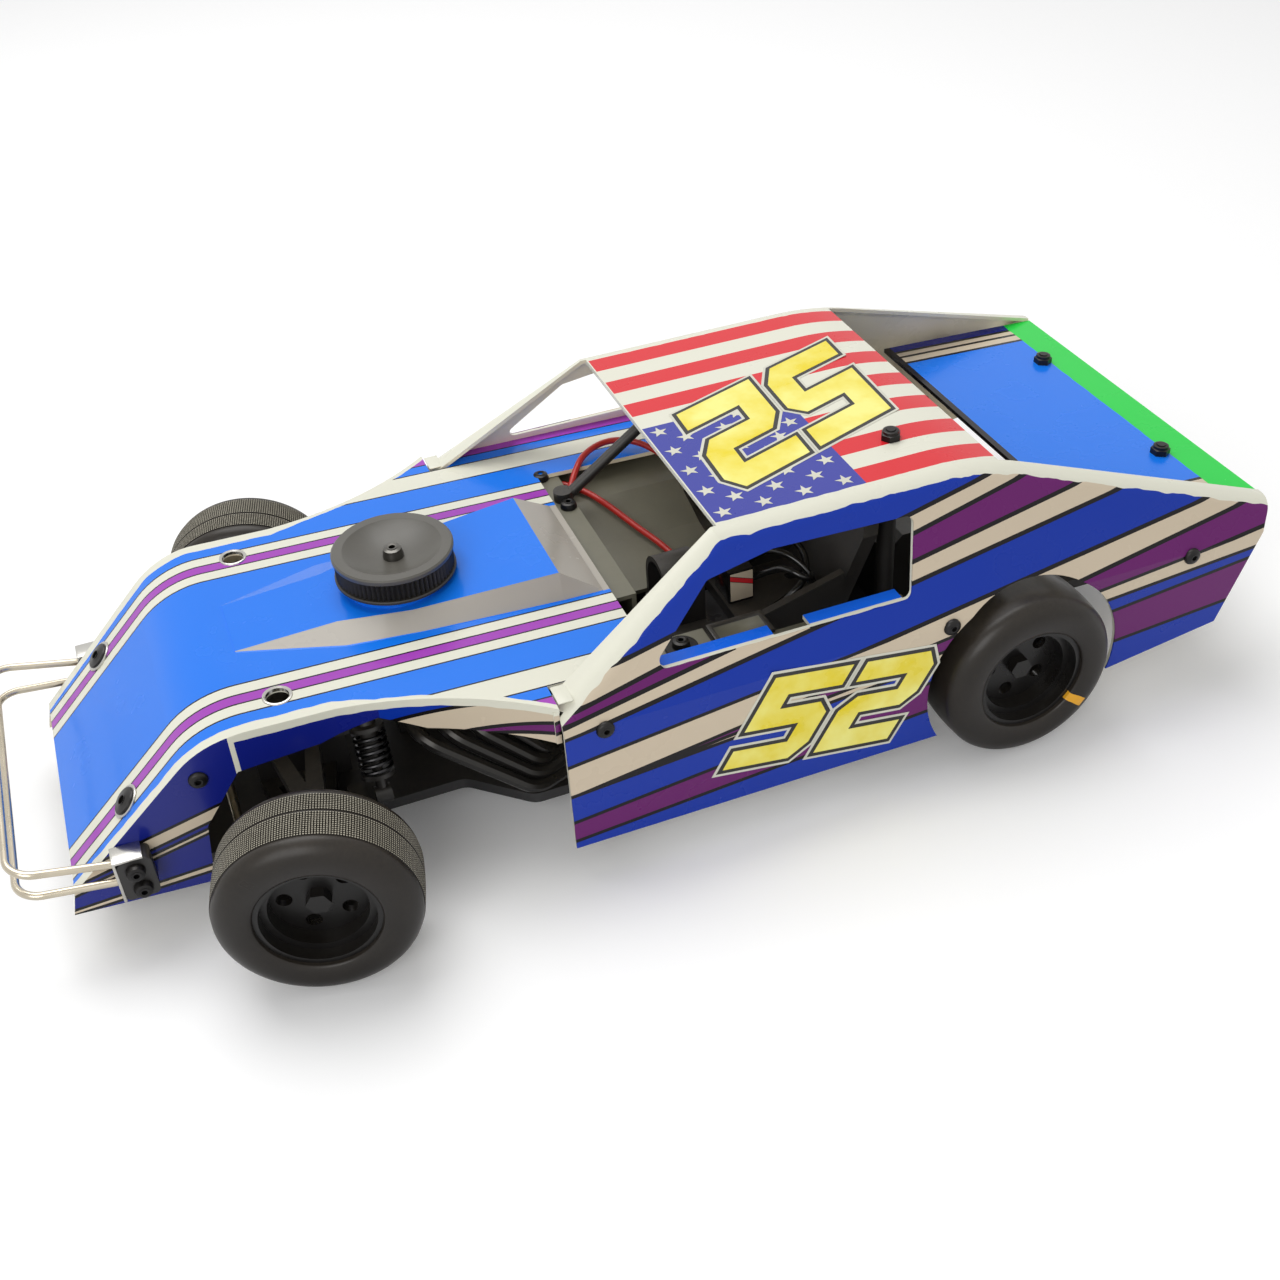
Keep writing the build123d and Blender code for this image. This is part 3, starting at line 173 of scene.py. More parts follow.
def new_finish(name, colour, roughness, specular=0.5, metallic=0.0, coat=(0.0, 0.03)):
    """A material with one Principled shader, whose constant values sit on its own sockets."""
    material = bpy.data.materials.new(name)
    material.use_nodes = True
    shader = material.node_tree.nodes["Principled BSDF"]
    for socket, value in {
        "Base Color": colour, "Roughness": roughness, "Specular IOR Level": specular, "Metallic": metallic,
        "Coat Weight": coat[0], "Coat Roughness": coat[1],
    }.items():
        shader.inputs[socket].default_value = value
    return material, material.node_tree, shader


def new_group(name, takes, gives):
    """A node group with named sockets; returns the group, its input values and its output sockets."""
    group = bpy.data.node_groups.new(name, "ShaderNodeTree")
    for label, kind in takes.items():
        group.interface.new_socket(label, in_out="INPUT", socket_type=kind)
    for label, kind in gives.items():
        group.interface.new_socket(label, in_out="OUTPUT", socket_type=kind)
    into = {socket.name: Value(group, socket) for socket in group.nodes.new("NodeGroupInput").outputs}
    return group, into, group.nodes.new("NodeGroupOutput").inputs


def use(tree, group, feeds=()):
    """Use a node group in a tree; returns its outputs by name."""
    outputs = put(tree, "ShaderNodeGroup", {"node_tree": group}, feeds).outputs
    return {socket.name: Value(tree, socket) for socket in outputs}


print("material helpers ready")

# %% [markdown]
# ## Floor and light
# The model stands on a pale sweep under one large soft box, with a weaker one on the camera's side. The
# large one hangs beyond the car, so the shadow falls towards the camera as in the photograph. The world
# gives the rest at a plain level, so that a colour renders about as it is written.

# %% Floor
FLOOR_SIZE = 6.0
FLOOR_LIFT = 0.07

bpy.ops.object.select_all(action="DESELECT")
bpy.ops.mesh.primitive_plane_add(size=FLOOR_SIZE)
floor = bpy.context.object
floor.name = "studio_floor"
floor_finish, tree, shader = new_finish("floor_paper", ink(252, 252, 252), 0.85)
floor_seen = read(tree, "ShaderNodeLightPath", "Is Camera Ray")
wire(floor_seen * FLOOR_LIFT, shader.inputs["Emission Strength"])
shader.inputs["Emission Color"].default_value = (1, 1, 1, 1)
floor.data.materials.append(floor_finish)
print("floor", FLOOR_SIZE, "m wide")

# %% Lamps and world
CAR_MIDDLE = at(-80, 0, 20)
WORLD_LEVEL = 0.42


def soft_box(name, offset, size, watts):
    """A square lamp at an offset from the car's middle, in metres, turned to face it."""
    lamp = bpy.data.lights.new(name, "AREA")
    lamp.size = size
    lamp.energy = watts
    stand = bpy.data.objects.new(name, lamp)
    scene.collection.objects.link(stand)
    facing = (-Vector(offset)).to_track_quat("-Z", "Y").to_matrix().to_4x4()
    stand.matrix_world = Matrix.Translation(CAR_MIDDLE + Vector(offset)) @ facing


soft_box("soft_box_over", (0.10, -0.30, 0.85), 0.70, 5.4)
soft_box("soft_box_front", (0.55, 0.75, 0.55), 0.60, 3.6)

scene.world = bpy.data.worlds.new("studio")
scene.world.use_nodes = True
sky = scene.world.node_tree
path = put(sky, "ShaderNodeLightPath").outputs
seen = Value(sky, path["Is Camera Ray"])
for ray in ("Is Transmission Ray", "Is Glossy Ray"):
    seen = seen | Value(sky, path[ray])
level = seen * (1.0 - WORLD_LEVEL) + WORLD_LEVEL
wire(level, sky.nodes["Background"].inputs["Strength"])
sky.nodes["Background"].inputs["Color"].default_value = (1, 1, 1, 1)
scene.view_settings.view_transform = "Standard"

# %% [markdown]
# ## Shared effects
# Four effects serve more than one finish, so each is a node group. The ruler says where a finish is on the
# car, in millimetres from the nose datum. The stripe lays one outlined band between two straight lines. The
# skin gives film and sheet their waviness and finger marks, and the grit is fine dust on top.

# %% The ruler
ruler, given, ruler_out = new_group("ruler", {}, dict.fromkeys(("Along", "Across", "Out", "Up"), NUMBER))
along, across, up = [part / MM for part in split(read(ruler, "ShaderNodeTexCoord", "Object"))]
wire(along - DATUM_X, ruler_out["Along"])
wire(across, ruler_out["Across"])
wire(across.calc("ABSOLUTE"), ruler_out["Out"])
wire(up, ruler_out["Up"])
print("ruler reads", [s.name for s in ruler_out if s.name])

# %% The stripe
OUTLINE = ink(14, 10, 14)
BAND_KEYS = ("Paint", "Low front", "Low tail", "High front", "High tail")

takes = dict.fromkeys(BAND_KEYS + ("Under", "Share", "Height", "Line"), NUMBER)
takes.update(Under=COLOUR, Paint=COLOUR)
stripe, given, stripe_out = new_group("stripe", takes, {"Colour": COLOUR})


def slanted(edge):
    """Height of an edge that runs straight from one value at the front to another at the tail."""
    front, tail = given[edge + " front"], given[edge + " tail"]
    return (tail - front) * given["Share"] + front


inner = (given["Height"] - slanted("Low")).calc("MINIMUM", slanted("High") - given["Height"])
half_line = given["Line"] * 0.5
lined = mix(inner > half_line * -1.0, given["Under"], OUTLINE)
wire(mix(inner > half_line, lined, given["Paint"]), stripe_out["Colour"])
print("stripe takes", list(takes))

# %% The skin and the grit
SMUDGE_RANGE = (0.3, 0.7)
BUMP = 0.35


def noise(tree, **feeds):
    """Noise on the object's own coordinates."""
    spot = read(tree, "ShaderNodeTexCoord", "Object")
    return read(tree, "ShaderNodeTexNoise", feeds={"Vector": spot, **feeds})


skin, given, skin_out = new_group(
    "skin", {"Scale": NUMBER}, dict.fromkeys(("Height", "Smudge", "Waver"), NUMBER))
wire(noise(skin, Scale=given["Scale"], Detail=3.0), skin_out["Height"])
wire(noise(skin, Scale=55.0, Detail=4.0, Roughness=0.6), skin_out["Smudge"])
wire(noise(skin, Scale=240.0, Detail=1.0) - 0.5, skin_out["Waver"])

grit, given, grit_out = new_group("grit", {"Amount": NUMBER}, {"Mask": NUMBER})
specks = noise(grit, Scale=900.0, Detail=6.0, Roughness=0.7)
upward = split(read(grit, "ShaderNodeNewGeometry", "Normal"))[2].ranged(-0.2, 1.0)
wire(upward * specks * given["Amount"], grit_out["Mask"])


def skinned(tree, shader, scale, dull, glossy, depth):
    """Give a finish its finger marks, as roughness between two values, and its waviness, in millimetres."""
    surface = use(tree, skin, {"Scale": scale})
    wire(surface["Smudge"].ranged(*SMUDGE_RANGE, glossy, dull), shader.inputs["Roughness"])
    bump = {"Strength": BUMP, "Distance": depth * MM, "Height": surface["Height"]}
    wire(read(tree, "ShaderNodeBump", feeds=bump), shader.inputs["Normal"])
    return surface


print("skin and grit ready")

# %% [markdown]
# ## Door film
# Each side of the car is one folded sheet. Printed film covers its flats: outlined bands of blue and purple
# on cream fan out from the door's front edge to the tail. The blue and purple are darker copies of the
# hood's, as painted shade, and the sill's lip gets a lighter blue as a painted highlight. The film stops
# where the sheet starts to round over, so pillars and roof edge stay white, and the sheet's back is grey. A
# picture could be stretched over the side, but straight bands stay sharper as a short table of lines.

# %% Colours of the print, with blue and purple in lit and shaded copies
# Blue and purple are one print each, in two copies: the hood's lighter, as painted light, the door's darker,
# as painted shade. The deep blue is darker still, as painted shade, and the sill blue is a painted highlight.
SHADED_DOOR_BLUE, LIT_HOOD_BLUE = ink(7, 50, 162), ink(16, 118, 234)
SHADED_DEEP_BLUE, LIT_SILL_BLUE = ink(20, 32, 128), ink(16, 104, 236)
SHADED_DOOR_PURPLE, LIT_HOOD_PURPLE = ink(102, 22, 102), ink(160, 62, 180)
CREAM = ink(206, 191, 168)
WHITE = ink(224, 223, 207)
BACK_GREY = ink(248, 236, 208)
RED, CANTON = ink(216, 36, 46), ink(56, 62, 158)
GREEN = ink(4, 208, 66)
# Grey painted as shade on the bare flanks of the hood's raised part
BULGE_SHADE_GREY = ink(172, 166, 156)
FILM_SCALE = 420.0


def film(name, colour, specular, coat, gloss, ripple):
    """A printed film; returns material, shader and a spot: its place, the way it faces, its edge's waver."""
    material, tree, shader = new_finish(name, colour, gloss[0], specular, coat=coat)
    spot = SimpleNamespace(**{label.lower(): value for label, value in use(tree, ruler).items()})
    spot.waver = skinned(tree, shader, FILM_SCALE, *gloss, ripple)["Waver"]
    _, sideways, spot.upward = split(read(tree, "ShaderNodeNewGeometry", "Normal"))
    spot.outward = sideways * spot.across.calc("SIGN")
    return material, shader, spot


def banded(under, share, height, bands, line):
    """Lay a table of outlined bands over a colour, one stripe group for each row."""
    for band in bands:
        feeds = dict(zip(BAND_KEYS, band), Under=under, Share=share, Height=height, Line=line)
        under = use(height.tree, stripe, feeds)["Colour"]
    return under


print("film helpers ready")

# %% Film on the two side panels
DOOR_FRONT_X, SIDE_RUN = -49.6, 162.9
DOOR_OUT, BELT_Z, LEAN = 52.6, 38.5, 12.2 / 28.3
FILM_EDGE, FILM_WAVE, FILM_LINE = 0.3, 0.5, 0.9
LIP = {"x": (-126.0, -68.0), "z": (44.2, 45.9), "depth": 1.3, "upward": 0.7}
BACK_TILT = -0.3
# The door's blue and purple are the darker copies of the print, painted shade
# Paint, low edge at the door's front and at the tail, high edge at the same two places, as heights
DOOR_BANDS = [
    (SHADED_DOOR_BLUE, -9.0, -9.0, 10.6, 23.0),
    (SHADED_DOOR_PURPLE, 10.6, 23.0, 15.7, 33.0),
    (SHADED_DOOR_BLUE, 15.7, 33.0, 22.7, 35.4),
    (SHADED_DOOR_PURPLE, 22.8, 40.0, 22.6, 46.5),
    (SHADED_DOOR_BLUE, 30.5, 50.4, 37.6, 60.1),
    (SHADED_DOOR_PURPLE, 40.0, 65.6, 41.8, 74.1),
    (SHADED_DOOR_BLUE, 46.5, 76.7, 90.0, 90.0),
]

door_film, shader, spot = film("door_film", CREAM, 0.22, (0.06, 0.12), gloss=(0.36, 0.22), ripple=0.016)
share = (spot.along - DOOR_FRONT_X) / -SIDE_RUN
colour = banded(CREAM, share, spot.up, DOOR_BANDS, FILM_LINE)
over_belt = (spot.up - BELT_Z).calc("MAXIMUM", 0.0)
depth = over_belt * -LEAN + DOOR_OUT - spot.out
colour = mix(depth > spot.waver * FILM_WAVE + FILM_EDGE, colour, WHITE)
# Painted highlight: the upward lip of the window sill, on the near side only, gets a lighter blue
lip = (spot.up > LIP["z"][0]) & (spot.up < LIP["z"][1]) & (depth > LIP["depth"])
lip = lip & (spot.along > LIP["x"][0]) & (spot.along < LIP["x"][1])
lip = lip & (spot.across > 0.0) & (spot.upward > LIP["upward"])
colour = mix(lip, colour, LIT_SILL_BLUE)
paint(shader, mix(spot.outward < BACK_TILT, colour, BACK_GREY))
for side, hand in SIDES:
    nodes["side_panel_" + side].material_slots[0].material = door_film
print("door bands:", len(DOOR_BANDS))

# %% [markdown]
# ## Hood film
# Hood and nose are one sheet, folded down at the front and turned down at the sides. The stripes run
# straight back and mirror each other, so the bands are laid over the distance from the middle, and draw
# together a little on the sloping nose. The raised part in the middle has bare flanks, painted grey as
# shade on the near side and on its rear slope.

# %% Stripes of the hood
# Rows as for the door, but as distances from the middle
HOOD_BANDS = [
    (WHITE, 19.1, 19.1, 28.3, 28.3),
    (LIT_HOOD_PURPLE, 22.3, 22.3, 25.15, 25.15),
    (WHITE, 37.0, 37.0, 43.3, 43.3),
    (LIT_HOOD_PURPLE, 46.6, 46.6, 70.0, 70.0),
]
HOOD_LINE = 0.4
NOSE_DRAW, NOSE_DRAW_X = 0.0009, 10.0

# The hood's blue and purple are the lighter copies of the print, painted light
hood_film, shader, spot = film("hood_film", LIT_HOOD_BLUE, 0.25, (0.15, 0.1), gloss=(0.3, 0.18), ripple=0.014)
ahead = (spot.along - NOSE_DRAW_X).calc("MAXIMUM", 0.0)
half = spot.out / (ahead * -NOSE_DRAW + 1.0)
top_colour = banded(LIT_HOOD_BLUE, 0.0, half, HOOD_BANDS, HOOD_LINE)
print("hood stripes:", len(HOOD_BANDS))

# %% Painted shade on the bare flanks of the raised part
HOOD_Z, HOOD_FALL, HOOD_BEND_X = 46.2, 0.0288, 14.8
BULGE = {"rise": 0.12, "flat": 0.985, "front_x": 6.0, "rear_x": -58.0, "out": 21.0}
STRIP = {"x": -69.4, "out": 17.8, "upward": 0.5}
BOSS = {"x": -31.4, "radius": 12.4}

over_hood = spot.up - ((spot.along - HOOD_BEND_X) * HOOD_FALL + HOOD_Z)
near_side = (spot.across > 0.0) | (spot.along < BULGE["rear_x"])
from_boss = (spot.along - BOSS["x"]).calc("POWER", 2.0) + spot.across.calc("POWER", 2.0)
raised = (over_hood > BULGE["rise"]) & (spot.upward < BULGE["flat"]) & (spot.along < BULGE["front_x"])
raised = raised & (spot.out < BULGE["out"]) & near_side & (from_boss > BOSS["radius"] ** 2)
strip = (spot.along < STRIP["x"]) & (spot.out < STRIP["out"]) & (spot.upward > STRIP["upward"])
raised = raised | strip
print("raised part ends at", BULGE["out"], "mm from the middle")

# %% Bare edge round the hood
HOOD_HALF, NOSE_TAPER, NOSE_EDGE_X = 34.0, 0.0752, 9.8
FLARE_X, FLARE_CENTRE, FLARE_R, FLARE_BLEND = -10.0, (-2.81, 105.51), 71.87, 8.0
BARE_WIDTH = {"flare": 1.1, "wheel": 2.5}
EDGE_WAVE = 0.8

taper = (spot.along - NOSE_EDGE_X).calc("MAXIMUM", 0.0)
straight = taper * -NOSE_TAPER + HOOD_HALF - spot.out
flare_x = (spot.along - FLARE_CENTRE[0]).calc("POWER", 2.0)
flare_y = (spot.out - FLARE_CENTRE[1]).calc("POWER", 2.0)
flared = (flare_x + flare_y).calc("SQRT") - FLARE_R
edge = (spot.along < FLARE_X) * (flared - straight) + straight
width = spot.along.ranged(FLARE_X - FLARE_BLEND, FLARE_X, BARE_WIDTH["flare"], BARE_WIDTH["wheel"])
top_colour = mix(spot.waver * EDGE_WAVE + edge < width, top_colour, WHITE)
print("bare edge beside the wheel:", BARE_WIDTH["wheel"], "mm")

# %% Turned-down sides of the hood
# Rows as for the door: the nose's side walls, and the turned-down sides behind the wheels
NOSE_BANDS = [
    (CREAM, 17.6, 26.6, 20.7, 29.7),
    (CREAM, 15.2, 24.0, 16.4, 25.2),
    (CREAM, 10.8, 13.9, 12.0, 15.6),
]
# The skirt's blue and purple are the door's darker copies of the print, painted shade
SKIRT_BANDS = [
    (SHADED_DOOR_PURPLE, 38.1, 33.1, 40.8, 32.6),
    (SHADED_DOOR_BLUE, 46.2, 39.7, 60.0, 60.0),
]
NOSE_RUN, NOSE_LINE, SLIT = (47.0, 16.6), 0.7, 0.5
SKIRT_RUN, SKIRT_BARE, SKIRT_WAVE = (-49.3, -18.0), 1.8, 0.6
WALL = {"outward": 0.3, "upward": 0.35}
WALL_BACK_TILT = -0.5


def run_share(run):
    """Share of the way along a run that is given by its two ends."""
    return (spot.along - run[0]) / (run[1] - run[0])


# The nose walls, and the skirt ahead of the wheel, take the deep blue: the print darkened as painted shade
nose_wall = banded(SHADED_DEEP_BLUE, run_share(NOSE_RUN), spot.up, NOSE_BANDS, NOSE_LINE)
skirt = banded(CREAM, run_share(SKIRT_RUN), spot.up, SKIRT_BANDS, FILM_LINE)
skirt = mix(spot.along > SKIRT_RUN[1], skirt, SHADED_DEEP_BLUE)
skirt = mix(over_hood > spot.waver * SKIRT_WAVE - SKIRT_BARE, skirt, WHITE)
wall = mix(spot.along > NOSE_DRAW_X, skirt, nose_wall)
wall = mix(spot.along.calc("COMPARE", NOSE_DRAW_X, SLIT), wall, WHITE)
is_wall = (spot.outward > WALL["outward"]) & (spot.upward < WALL["upward"]) & (spot.out > BULGE["out"])
colour = mix(is_wall, top_colour, wall)
back = (spot.upward < BACK_TILT) | (spot.outward < WALL_BACK_TILT)
colour = mix(back, colour, BACK_GREY)
# Painted shade: the raised part's near flank and rear slope are grey
paint(shader, mix(raised, colour, BULGE_SHADE_GREY))
nodes["nose_hood"].material_slots[0].material = hood_film
print("bands on the sides:", len(NOSE_BANDS) + len(SKIRT_BANDS))

# %% [markdown]
# ## Roof and rear deck
# The roof carries the old stripes-and-canton flag print: thirteen stripes along the car and a dark front
# corner. Stripes of one width need no table: the distance across, counted in stripe widths, is odd or even.
# The deck behind is blue with a green rear edge and lined borders.

# %% Film on the roof
ROOF_FILM_OUT, STRIPES = 36.8, 13
STRIPE_W = 2 * ROOF_FILM_OUT / STRIPES
CANTON_X, CANTON_STRIPES = (-88.6, -121.2), 6.0
ROOF_FLAT_UP = 0.97

roof_film, shader, spot = film("roof_film", WHITE, 0.3, (0.1, 0.12), gloss=(0.36, 0.24), ripple=0.014)
count = (spot.across + ROOF_FILM_OUT) / STRIPE_W
colour = mix(count.calc("FLOORED_MODULO", 2.0) < 1.0, WHITE, RED)
colour = mix((spot.along > CANTON_X[1]) & (count > CANTON_STRIPES), colour, CANTON)
bare = (spot.waver * EDGE_WAVE + spot.out > ROOF_FILM_OUT) | (spot.along > CANTON_X[0])
colour = mix(bare | (spot.upward < ROOF_FLAT_UP), colour, WHITE)
paint(shader, mix(spot.upward < BACK_TILT, colour, BACK_GREY))
nodes["roof_panel"].material_slots[0].material = roof_film
print("roof stripes are", round(STRIPE_W, 2), "mm wide")

# %% Film on the rear deck
DECK_GREEN_X, DECK_EDGE_X = -204.6, -171.5
# The outer band takes the deep blue: the print darkened as painted shade
# Rows as for the hood
DECK_BANDS = [
    (CREAM, 36.6, 36.6, 39.8, 39.8),
    (CREAM, 39.8, 39.8, 42.4, 42.4),
    (SHADED_DEEP_BLUE, 42.4, 42.4, 60.0, 60.0),
]

# The deck's blue is the hood's lighter copy of the print, painted light
deck_film, shader, spot = film("deck_film", LIT_HOOD_BLUE, 0.25, (0.16, 0.1), gloss=(0.32, 0.2), ripple=0.014)
colour = banded(LIT_HOOD_BLUE, 0.0, spot.out, DECK_BANDS, FILM_LINE)
colour = mix(spot.waver * FILM_WAVE + spot.along < DECK_GREEN_X, colour, GREEN)
colour = mix(spot.along > DECK_EDGE_X, colour, OUTLINE)
paint(shader, mix(spot.upward < BACK_TILT, colour, BACK_GREY))
nodes["rear_deck"].material_slots[0].material = deck_film
print("deck bands:", len(DECK_BANDS))

# %% [markdown]
# ## Plain finishes
# Under the body are moulded nylon, painted sheet, wire, rubber and shrink-wrap. Each is one colour with its
# own gloss, a fine grain and some dust, so one function makes them all from a short table.

# %% Plain finishes from a table
DUST = ink(150, 138, 118)
TONE_SCALE, TONE_LOW = 130.0, 0.72
# Colour, dull and glossy roughness, scale and depth of the grain, dust, then metal and specular level if any
PLAIN = {
    "rim_plastic": (ink(19, 18, 18), 0.42, 0.24, 1500.0, 0.02, 0.06, 0.0, 0.35),
    "black_nylon": (ink(30, 29, 29), 0.55, 0.36, 1800.0, 0.03, 0.14),
    "tray_sheet": (ink(112, 110, 94), 0.6, 0.42, 900.0, 0.02, 0.10),
    "chassis_sheet": (ink(38, 38, 40), 0.6, 0.4, 1400.0, 0.03, 0.12),
    "nickel_wire": (ink(206, 196, 176), 0.36, 0.2, 2600.0, 0.01, 0.02, 1.0),
    "header_black": (ink(40, 39, 38), 0.4, 0.24, 2200.0, 0.01, 0.08, 0.5),
    "screw_black": (ink(34, 33, 34), 0.42, 0.25, 2600.0, 0.01, 0.05, 0.6),
    "screw_bright": (ink(200, 198, 192), 0.34, 0.2, 2600.0, 0.01, 0.02, 1.0),
    "stud_steel": (ink(104, 102, 98), 0.34, 0.2, 2600.0, 0.01, 0.02, 1.0),
    "spring_steel": (ink(62, 62, 64), 0.36, 0.22, 2400.0, 0.01, 0.04, 1.0),
    "motor_steel": (ink(176, 176, 178), 0.38, 0.22, 2400.0, 0.01, 0.03, 1.0),
    "shrink_wrap": (ink(44, 44, 48), 0.4, 0.2, 500.0, 0.06, 0.06),
    "filter_grey": (ink(84, 82, 76), 0.46, 0.3, 900.0, 0.02, 0.06),
    "lead_red": (ink(190, 34, 26), 0.42, 0.28, 1600.0, 0.02, 0.05),
    "lead_black": (ink(18, 18, 19), 0.3, 0.12, 1600.0, 0.02, 0.04),
    "number_black": (ink(24, 22, 22), 0.36, 0.24, 700.0, 0.02, 0.0),
    "white_sheet": (WHITE, 0.42, 0.3, 700.0, 0.03, 0.0),
}


def plain_finish(name, colour, dull, glossy, grain, depth, dust, metallic=0.0, specular=0.5):
    """A moulded, painted or metal finish whose tone drifts a little, with grain and dust."""
    material, tree, shader = new_finish(name, colour, dull, specular, metallic)
    skinned(tree, shader, grain, dull, glossy, depth)
    darker = tuple(TONE_LOW * c for c in colour[:3]) + (1.0,)
    shade = mix(use(tree, skin, {"Scale": TONE_SCALE})["Height"], darker, colour)
    dusty = use(tree, grit, {"Amount": dust})["Mask"]
    paint(shader, mix(dusty, shade, DUST))
    return material


plain = {name: plain_finish(name, *row) for name, row in PLAIN.items()}
print("plain finishes:", len(plain))

# %% Finishes on the CAD nodes
FINISH_BY_SLOT = {
    "black_plastic": "black_nylon", "interior_sheet": "tray_sheet", "wire_steel": "nickel_wire",
    "shock_spring": "spring_steel", "motor_can": "motor_steel", "battery_wrap": "shrink_wrap",
    "wire_red": "lead_red",
}
for node in nodes.values():
    for holder in node.material_slots:
        slot = holder.material.name.split(".")[0]
        holder.material = plain.get(FINISH_BY_SLOT.get(slot, slot), holder.material)
for side, hand in SIDES:
    nodes["headers_" + side].material_slots[0].material = plain["header_black"]
print("CAD nodes dressed:", len(nodes))

# %% [markdown]
# ## Modelling helpers
# New pieces are turned or extruded as by hand. A turned piece starts as one point that is extruded along a
# half section and then spun. A repeated piece is modelled once about the origin and planted where it is
# needed, each copy with its own mesh.

# %% Helpers for choosing and shaping
def mode(name):
    bpy.ops.object.mode_set(mode=name)


def chosen(*pieces):
    """Object mode with only these pieces selected, the first one active, so that operators touch no other."""
    if bpy.context.mode != "OBJECT":
        mode("OBJECT")
    bpy.ops.object.select_all(action="DESELECT")
    for piece in pieces:
        piece.select_set(True)
        bpy.context.view_layer.objects.active = pieces[0]


def pick(piece, kind, test):
    """In edit mode, select only the points or faces of a piece that pass a test; stays in edit mode."""
    chosen(piece)
    mode("EDIT")
    bpy.ops.mesh.select_mode(type=kind)
    bpy.ops.mesh.select_all(action="DESELECT")
    mode("OBJECT")
    for element in piece.data.vertices if kind == "VERT" else piece.data.polygons:
        element.select = test(element)
    mode("EDIT")


def extrude(way):
    bpy.ops.mesh.extrude_region_move(TRANSFORM_OT_translate={"value": way})


def tidy_mesh():
    """Merge doubles and turn the faces outwards; from edit mode back to object mode."""
    bpy.ops.mesh.select_all(action="SELECT")
    bpy.ops.mesh.remove_doubles(threshold=0.002 * MM)
    bpy.ops.mesh.normals_make_consistent(inside=False)
    mode("OBJECT")


def turned(profile, steps):
    """Spin a half section (radius, height), in millimetres, once round the upright axis."""
    points = [Vector((radius, 0, height)) * MM for radius, height in profile]
    chosen()
    bpy.ops.mesh.primitive_plane_add(size=MM)
    piece = bpy.context.object
    mode("EDIT")
    bpy.ops.mesh.select_mode(type="VERT")
    bpy.ops.mesh.merge(type="CENTER")
    bpy.ops.transform.translate(value=points[0])
    for here, there in zip(points, points[1:]):
        extrude(there - here)
    bpy.ops.mesh.select_all(action="SELECT")
    bpy.ops.mesh.spin(steps=steps, angle=2 * pi, center=(0, 0, 0), axis=(0, 0, 1))
    tidy_mesh()
    return piece


def smooth(piece, angle=35.0):
    chosen(piece)
    bpy.ops.object.shade_smooth_by_angle(angle=radians(angle))
    return piece


def cube(name, low, high):
    """A block between two corners, in the frame's metres."""
    chosen()
    bpy.ops.mesh.primitive_cube_add(size=1, location=(low + high) / 2, scale=high - low)
    bpy.ops.object.transform_apply(location=True, rotation=False, scale=True)
    bpy.context.object.name = name
    return bpy.context.object


def rounded(piece, width):
    """Round the edges of a piece by a bevel, given in millimetres."""
    chosen(piece)
    edge = piece.modifiers.new("rounding", "BEVEL")
    edge.width = width * MM
    edge.segments = 2
    bpy.ops.object.modifier_apply(modifier="rounding")
    return smooth(piece)


def meshed(name, line):
    """Make a curve a mesh piece."""
    piece = bpy.data.objects.new(name, line)
    scene.collection.objects.link(piece)
    chosen(piece)
    bpy.ops.object.convert(target="MESH")
    return bpy.context.object


def arc(centre, radii, start, end, steps):
    """Points (radius, height) on an oval arc about a centre, between two angles in degrees."""
    angles = [radians(start + (end - start) * i / steps) for i in range(steps + 1)]
    return [(centre[0] + radii[0] * cos(a), centre[1] + radii[1] * sin(a)) for a in angles]


print("shaping helpers ready")

# %% Helpers for placing and finishing
def planted(master, name, matrix):
    """A copy of a master with its own mesh, moved to its place inside that mesh."""
    twin = bpy.data.objects.new(name, master.data.copy())
    twin.data.transform(matrix)
    scene.collection.objects.link(twin)
    return twin


def moved(piece, name, place):
    """Name a piece that was modelled about the origin, and move it to its place inside its mesh."""
    piece.data.transform(Matrix.Translation(place))
    piece.name = name
    return piece


def facing_to(place, direction):
    """A matrix that puts a piece at a place, with its upright axis along a direction."""
    turn = Vector(direction).to_track_quat("Z", "Y").to_matrix().to_4x4()
    return Matrix.Translation(place) @ turn


def joined(name, pieces):
    """Join several meshes into one piece."""
    chosen(*pieces)
    bpy.ops.object.join()
    pieces[0].name = name
    return pieces[0]


def two_tone(piece, under, over):
    """Two materials on one piece; the second goes on the faces that are selected."""
    for face in piece.data.polygons:
        face.material_index = int(face.select)
    piece.data.materials.append(under)
    piece.data.materials.append(over)


def dressed(piece, material, slot, *stands_for, body="chassis"):
    """Finish a piece: its material, the nodes it stands for and the body it rides on. The slot is not used.
    """
    piece.data.name = piece.name
    if material:
        piece.data.materials.clear()
        piece.data.materials.append(material)
    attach(piece, body)
    if stands_for:
        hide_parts(*stands_for)
    return piece


def dropped(*masters):
    for master in masters:
        bpy.data.objects.remove(master)


print("placing helpers ready")

# %% [markdown]
# ## Tyres
# The front tyres have a fine square-grid tread, and the rear ones are slicks. Both have a rounded shoulder
# and a sidewall that curves in to the rim. The tread could be a bump, but its edge shows against the pale
# floor, so the tread faces are inset one by one and lifted to the tyre's full radius. Worn block tops are
# paler than the grooves, which is a second material. One rear tyre has a dab of yellow paint, the usual
# mark that shows whether it slips on its rim.

# %% Rubber
RUBBER_GRAIN, RUBBER_TONE = 1600.0, 90.0
DAB = {"x": -152.0, "z": 20.0, "turn": radians(218), "middle": 14.05, "reach": 2.55, "half": 1.05, "y": 55.0}
DAB_YELLOW, DAB_WAVE = ink(232, 168, 40), 1.2


